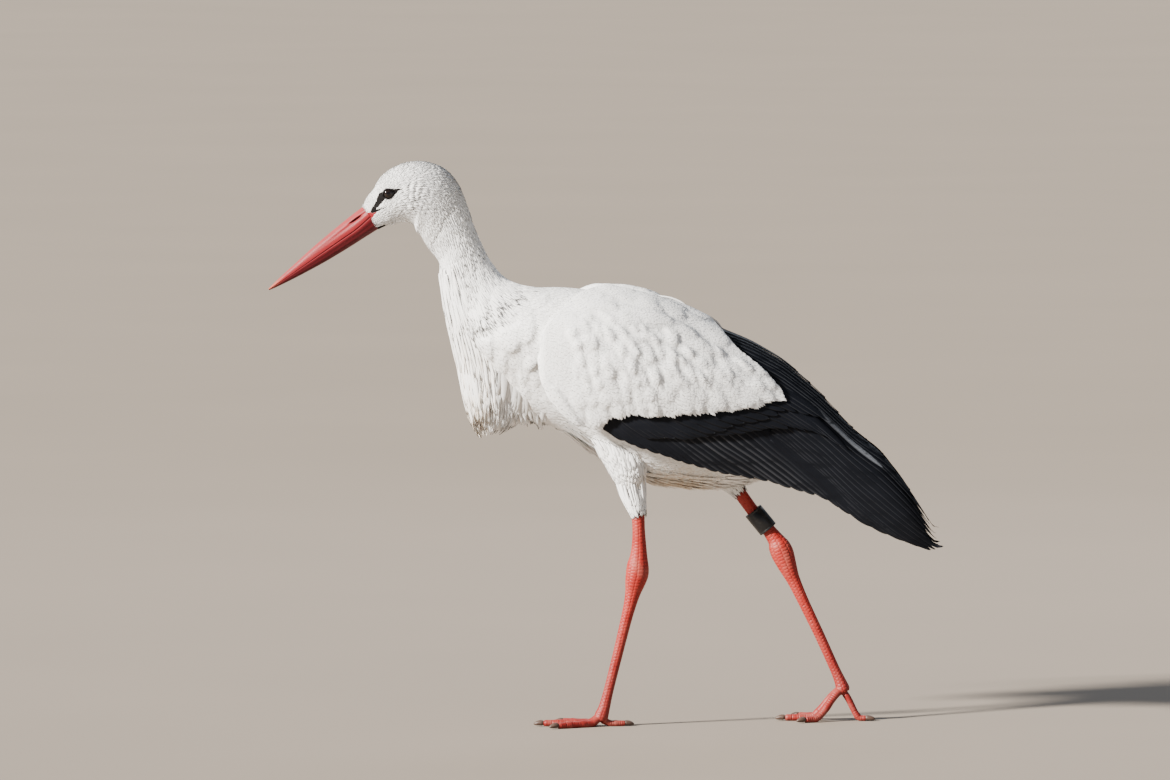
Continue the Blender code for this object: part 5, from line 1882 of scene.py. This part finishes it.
def leg_lines(side):
    """Points of the centre lines of leg and toes: place, length along, way to the front, kind and radius.

    The kind is 0 on the leg and 1 on a toe.
    """
    rows = at(LEGS[side]["bare"], np.linspace(0, len(LEGS[side]["bare"]) - 1, 500))
    line = rows[:, [0, 2, 1]]
    ahead = unit(np.gradient(line, axis=0))
    fore = np.stack([ahead[:, 2], 0 * ahead[:, 0], -ahead[:, 0]], -1)
    lines = [(line, lengths_of(line), fore, np.zeros(len(line)), rows[:, 3])]
    for _, path, radii in toe_plan(side):
        length = lengths_of(path)
        past_joint = length > 9
        parts = (path, length, toe_frames(path)[1], np.ones(len(path)), radii)
        lines.append([part[past_joint] for part in parts])
    return [np.concatenate([part[k] for part in lines]) for k in range(5)]


def raise_scutes(skin, side):
    """Raises the scutes, and tells each point how high on one it is, how dusty and how low on the leg."""
    lines, lengths, fronts, kinds, sizes = leg_lines(side)
    points, normals = points_of(skin), normals_of(skin)
    near = nearest(points, lines)
    out = unit(points - lines[near])
    front = (out * fronts[near]).sum(-1)
    around = np.degrees(np.arctan2(np.linalg.norm(np.cross(out, fronts[near]), axis=-1), front))
    signed = around * np.sign(points[:, 1] - lines[near][:, 1] + 1e-6)
    on_toe = kinds[near] > 0
    b = (signed + 180) / 360 * np.where(on_toe, 3.0, 8.0) + np.where(on_toe, 0.5, 0.0)
    a = lengths[near] / np.where(on_toe, 3.1, 4.4) + 0.5 * (np.floor(b) % 2)
    a, b = a - np.floor(a) - 0.5, b - np.floor(b) - 0.5
    dome = np.clip(1 - np.abs(2 * a) ** 5, 0, 1) * np.clip(1 - np.abs(2 * b) ** 7, 0, 1)
    grains = 0.5 + 0.5 * np.sin(points[:, 0] * 3.1) * np.sin(points[:, 1] * 3.1)
    dome = np.where(on_toe & (around > 120), grains, dome)
    high = 0.55 * (dome - 0.6) * (points[:, 2] >= 0.6)
    moved = points + normals * high[:, None]
    moved[:, 2] = np.maximum(moved[:, 2], 0.0)
    move_points(skin, moved)
    joint = np.exp(-((sizes[near] - 14) / 3.5) ** 2) * ~on_toe
    dusty = np.clip(0.25 + 0.6 * joint + 0.7 * on_toe, 0, 1)
    low = 1 - smoothstep(points[:, 2], 20, 190)
    add_values(skin.data, {"scute": np.clip(dome, 0, 1), "dusty": dusty, "low": low})


def make_claws(side):
    """Blunt, slightly bent claws, one for each toe, by the names of their nodes."""
    made = {}
    for toe, path, _ in toe_plan(side):
        ahead = unit((path[-1] - path[-2]) * np.array([1, 1, 0]))
        t = np.linspace(-0.12, 1, 26)
        line = path[-1] + ahead * (0.4 + CLAW_LONG * t)[:, None]
        line[:, 2] += 0.6 - 2.0 * t * t
        size = 3.7 * np.sqrt(np.clip(1 - np.clip(t, 0, 1) ** 1.9, 0.03, 1)) * np.where(t < 0, 0.9, 1)
        name = f"claw_{toe}_{SIDE_NAMES[side]}"
        made[name] = closed_tube("horn_" + name, toe_tube(line, size, 20), CLAW_HORN)
    return made


def make_ring():
    """The plain marking ring, with rounded edges and a fine groove near each of them."""
    rows = LEGS[RIGHT]["bare"]
    ahead = unit(np.array([rows[3][0] - rows[2][0], rows[3][1] - rows[2][1]], float))
    fore = np.array([ahead[1], 0, -ahead[0]])
    outer, inner, high = RING["outer"], RING["inner"], RING["high"] / 2
    corner, deep, bevel = 0.7, 0.25, 0.3
    turns = np.linspace(0, math.pi / 2, 6)
    groove = [(outer, 0.86), (outer - deep, 0.84), (outer - deep, 0.80), (outer, 0.78)]
    profile = [(outer - corner + corner * math.sin(a), high - corner + corner * math.cos(a)) for a in turns]
    profile += [(radius, high * share) for radius, share in groove]
    profile += [(radius, -high * share) for radius, share in reversed(groove)]
    profile += [(outer - corner + corner * math.cos(a), -high + corner - corner * math.sin(a)) for a in turns]
    profile += [(inner + bevel, -high), (inner, -high + bevel), (inner, high - bevel), (inner + bevel, high)]
    centre = np.array([RING["at"][0], RING["y"], RING["at"][1]])
    way = np.array([ahead[0], 0, ahead[1]])
    rings = 96
    points = []
    for turn in circle(rings):
        out = fore * math.cos(turn) + np.array([0, math.sin(turn), 0])
        points += [centre - way * along + out * radius for radius, along in profile]
    points = np.array(points)
    faces = outward(points, tube_faces(rings, len(profile), is_loop=True))
    return mesh_of("marking_ring", points, faces, RING_PLASTIC)


# Studio

# Metres to the camera, and degrees it looks down.
CAMERA_FAR, CAMERA_ABOVE = 15.0, 4.0
# The photo's size in pixels, the millimetres in each, and the pixel of the tables' zero.
PIXEL_MM, PHOTO_WIDE, PHOTO_HIGH = 1.32, 1170, 780
FOOT_PIXEL = (602, 725)


def make_camera():
    """A far camera at the photo's height; the frame's middle is the photo's."""
    pixel = PIXEL_MM * MM
    middle = Vector(((PHOTO_WIDE / 2 - FOOT_PIXEL[0]) * pixel, 0, (FOOT_PIXEL[1] - PHOTO_HIGH / 2) * pixel))
    above = math.radians(CAMERA_ABOVE)
    lens = bpy.data.cameras.new("camera")
    made = link(lens, "camera")
    made.location = middle + Vector((0, -math.cos(above), math.sin(above))) * CAMERA_FAR
    made.rotation_euler = (math.radians(90) - above, 0, 0)
    lens.sensor_width = 36
    lens.lens = lens.sensor_width * CAMERA_FAR / (PHOTO_WIDE * pixel)
    lens.clip_end = 100
    bpy.context.scene.camera = made


def light(name, kind, power, colour, place, target):
    lamp = bpy.data.lights.new(name, kind)
    lamp.energy, lamp.color = power, colour
    made = link(lamp, name)
    made.location = place
    made.rotation_euler = (Vector(target) - Vector(place)).to_track_quat("-Z", "Y").to_euler()
    return lamp


def make_studio():
    """A plain floor that reaches past the frame, a warm key light, a cool fill and a cool rim light."""
    far = 70 / MM
    floor = np.array([(-far, -far, 0), (far, -far, 0), (far, far, 0), (-far, far, 0)]) - SHIFT / MM
    mesh_of("studio_floor", floor, [(0, 1, 2, 3)], FLOOR)
    light("key", "SUN", 16.5, (1.0, 0.955, 0.89), (0, 0, 0), (4.0, 2.25, -2.4)).angle = math.radians(6)
    light("fill", "AREA", 10, (0.80, 0.89, 1.0), (3.2, -3.0, 1.4), (0, 0, 0.4)).size = 2.5
    light("rim", "AREA", 32, (0.84, 0.91, 1.0), (0.8, 3.0, 2.6), (0, 0, 0.5)).size = 1.8
    world = bpy.data.worlds.new("studio")
    world.use_nodes = True
    background = world.node_tree.nodes["Background"]
    background.inputs["Color"].default_value = (0.74, 0.84, 1.0, 1)
    background.inputs["Strength"].default_value = 0.32
    bpy.context.scene.world = world


def keep(piece, slot, *nodes):
    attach(piece, "root")
    if nodes:
        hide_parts(*nodes)


def main():
    rng = np.random.default_rng(7)
    skin = make_skin()
    blades = make_blades()
    for coat in make_coat(skin, blades):
        keep(coat, "plumage")
    drop(skin.data, COAT_VALUES)
    keep(skin, "plumage", "head", "neck_upper", "neck_lower", "torso", "tail", "thigh_left", "thigh_right")
    keep(make_body_coat("mantle_feathers", 14.6, 20, 3.25, 18, 5.8, rng, breast_stain), "plumage")
    keep(make_body_coat("belly_feathers", 20, TAIL_ENDS - 0.4, 3.2, 19, 5.6, rng, belly_stain), "plumage")
    for make in (make_breast, make_thigh_tufts, make_belly_fringe, make_tail):
        keep(make(rng), "plumage")
    for side, name in SIDE_NAMES.items():
        sheet, vanes = make_coverts(side, rng)
        keep(sheet, "plumage", f"wing_{name}")
        keep(vanes, "plumage")
        keep(make_flight(side, rng), "flight_feathers", f"flight_{name}")
        keep(make_eye(side), "eye", f"eye_{name}")
        keep(make_lids(side), "plumage")
        leg_parts = ["shank", "hock", "tarsus", *(f"toe_{toe[0]}" for toe in TOES)]
        keep(make_leg(side), "leg_skin", *(f"{part}_{name}" for part in leg_parts))
        for node, claw in make_claws(side).items():
            keep(claw, "claw", node)
    keep(mandible("upper_bill", True), "bill", "bill_upper")
    keep(mandible("lower_bill", False), "bill", "bill_lower")
    keep(make_ring(), "ring", "leg_ring")
    for one in blades.values():
        remove(one)
    make_camera()
    make_studio()


main()
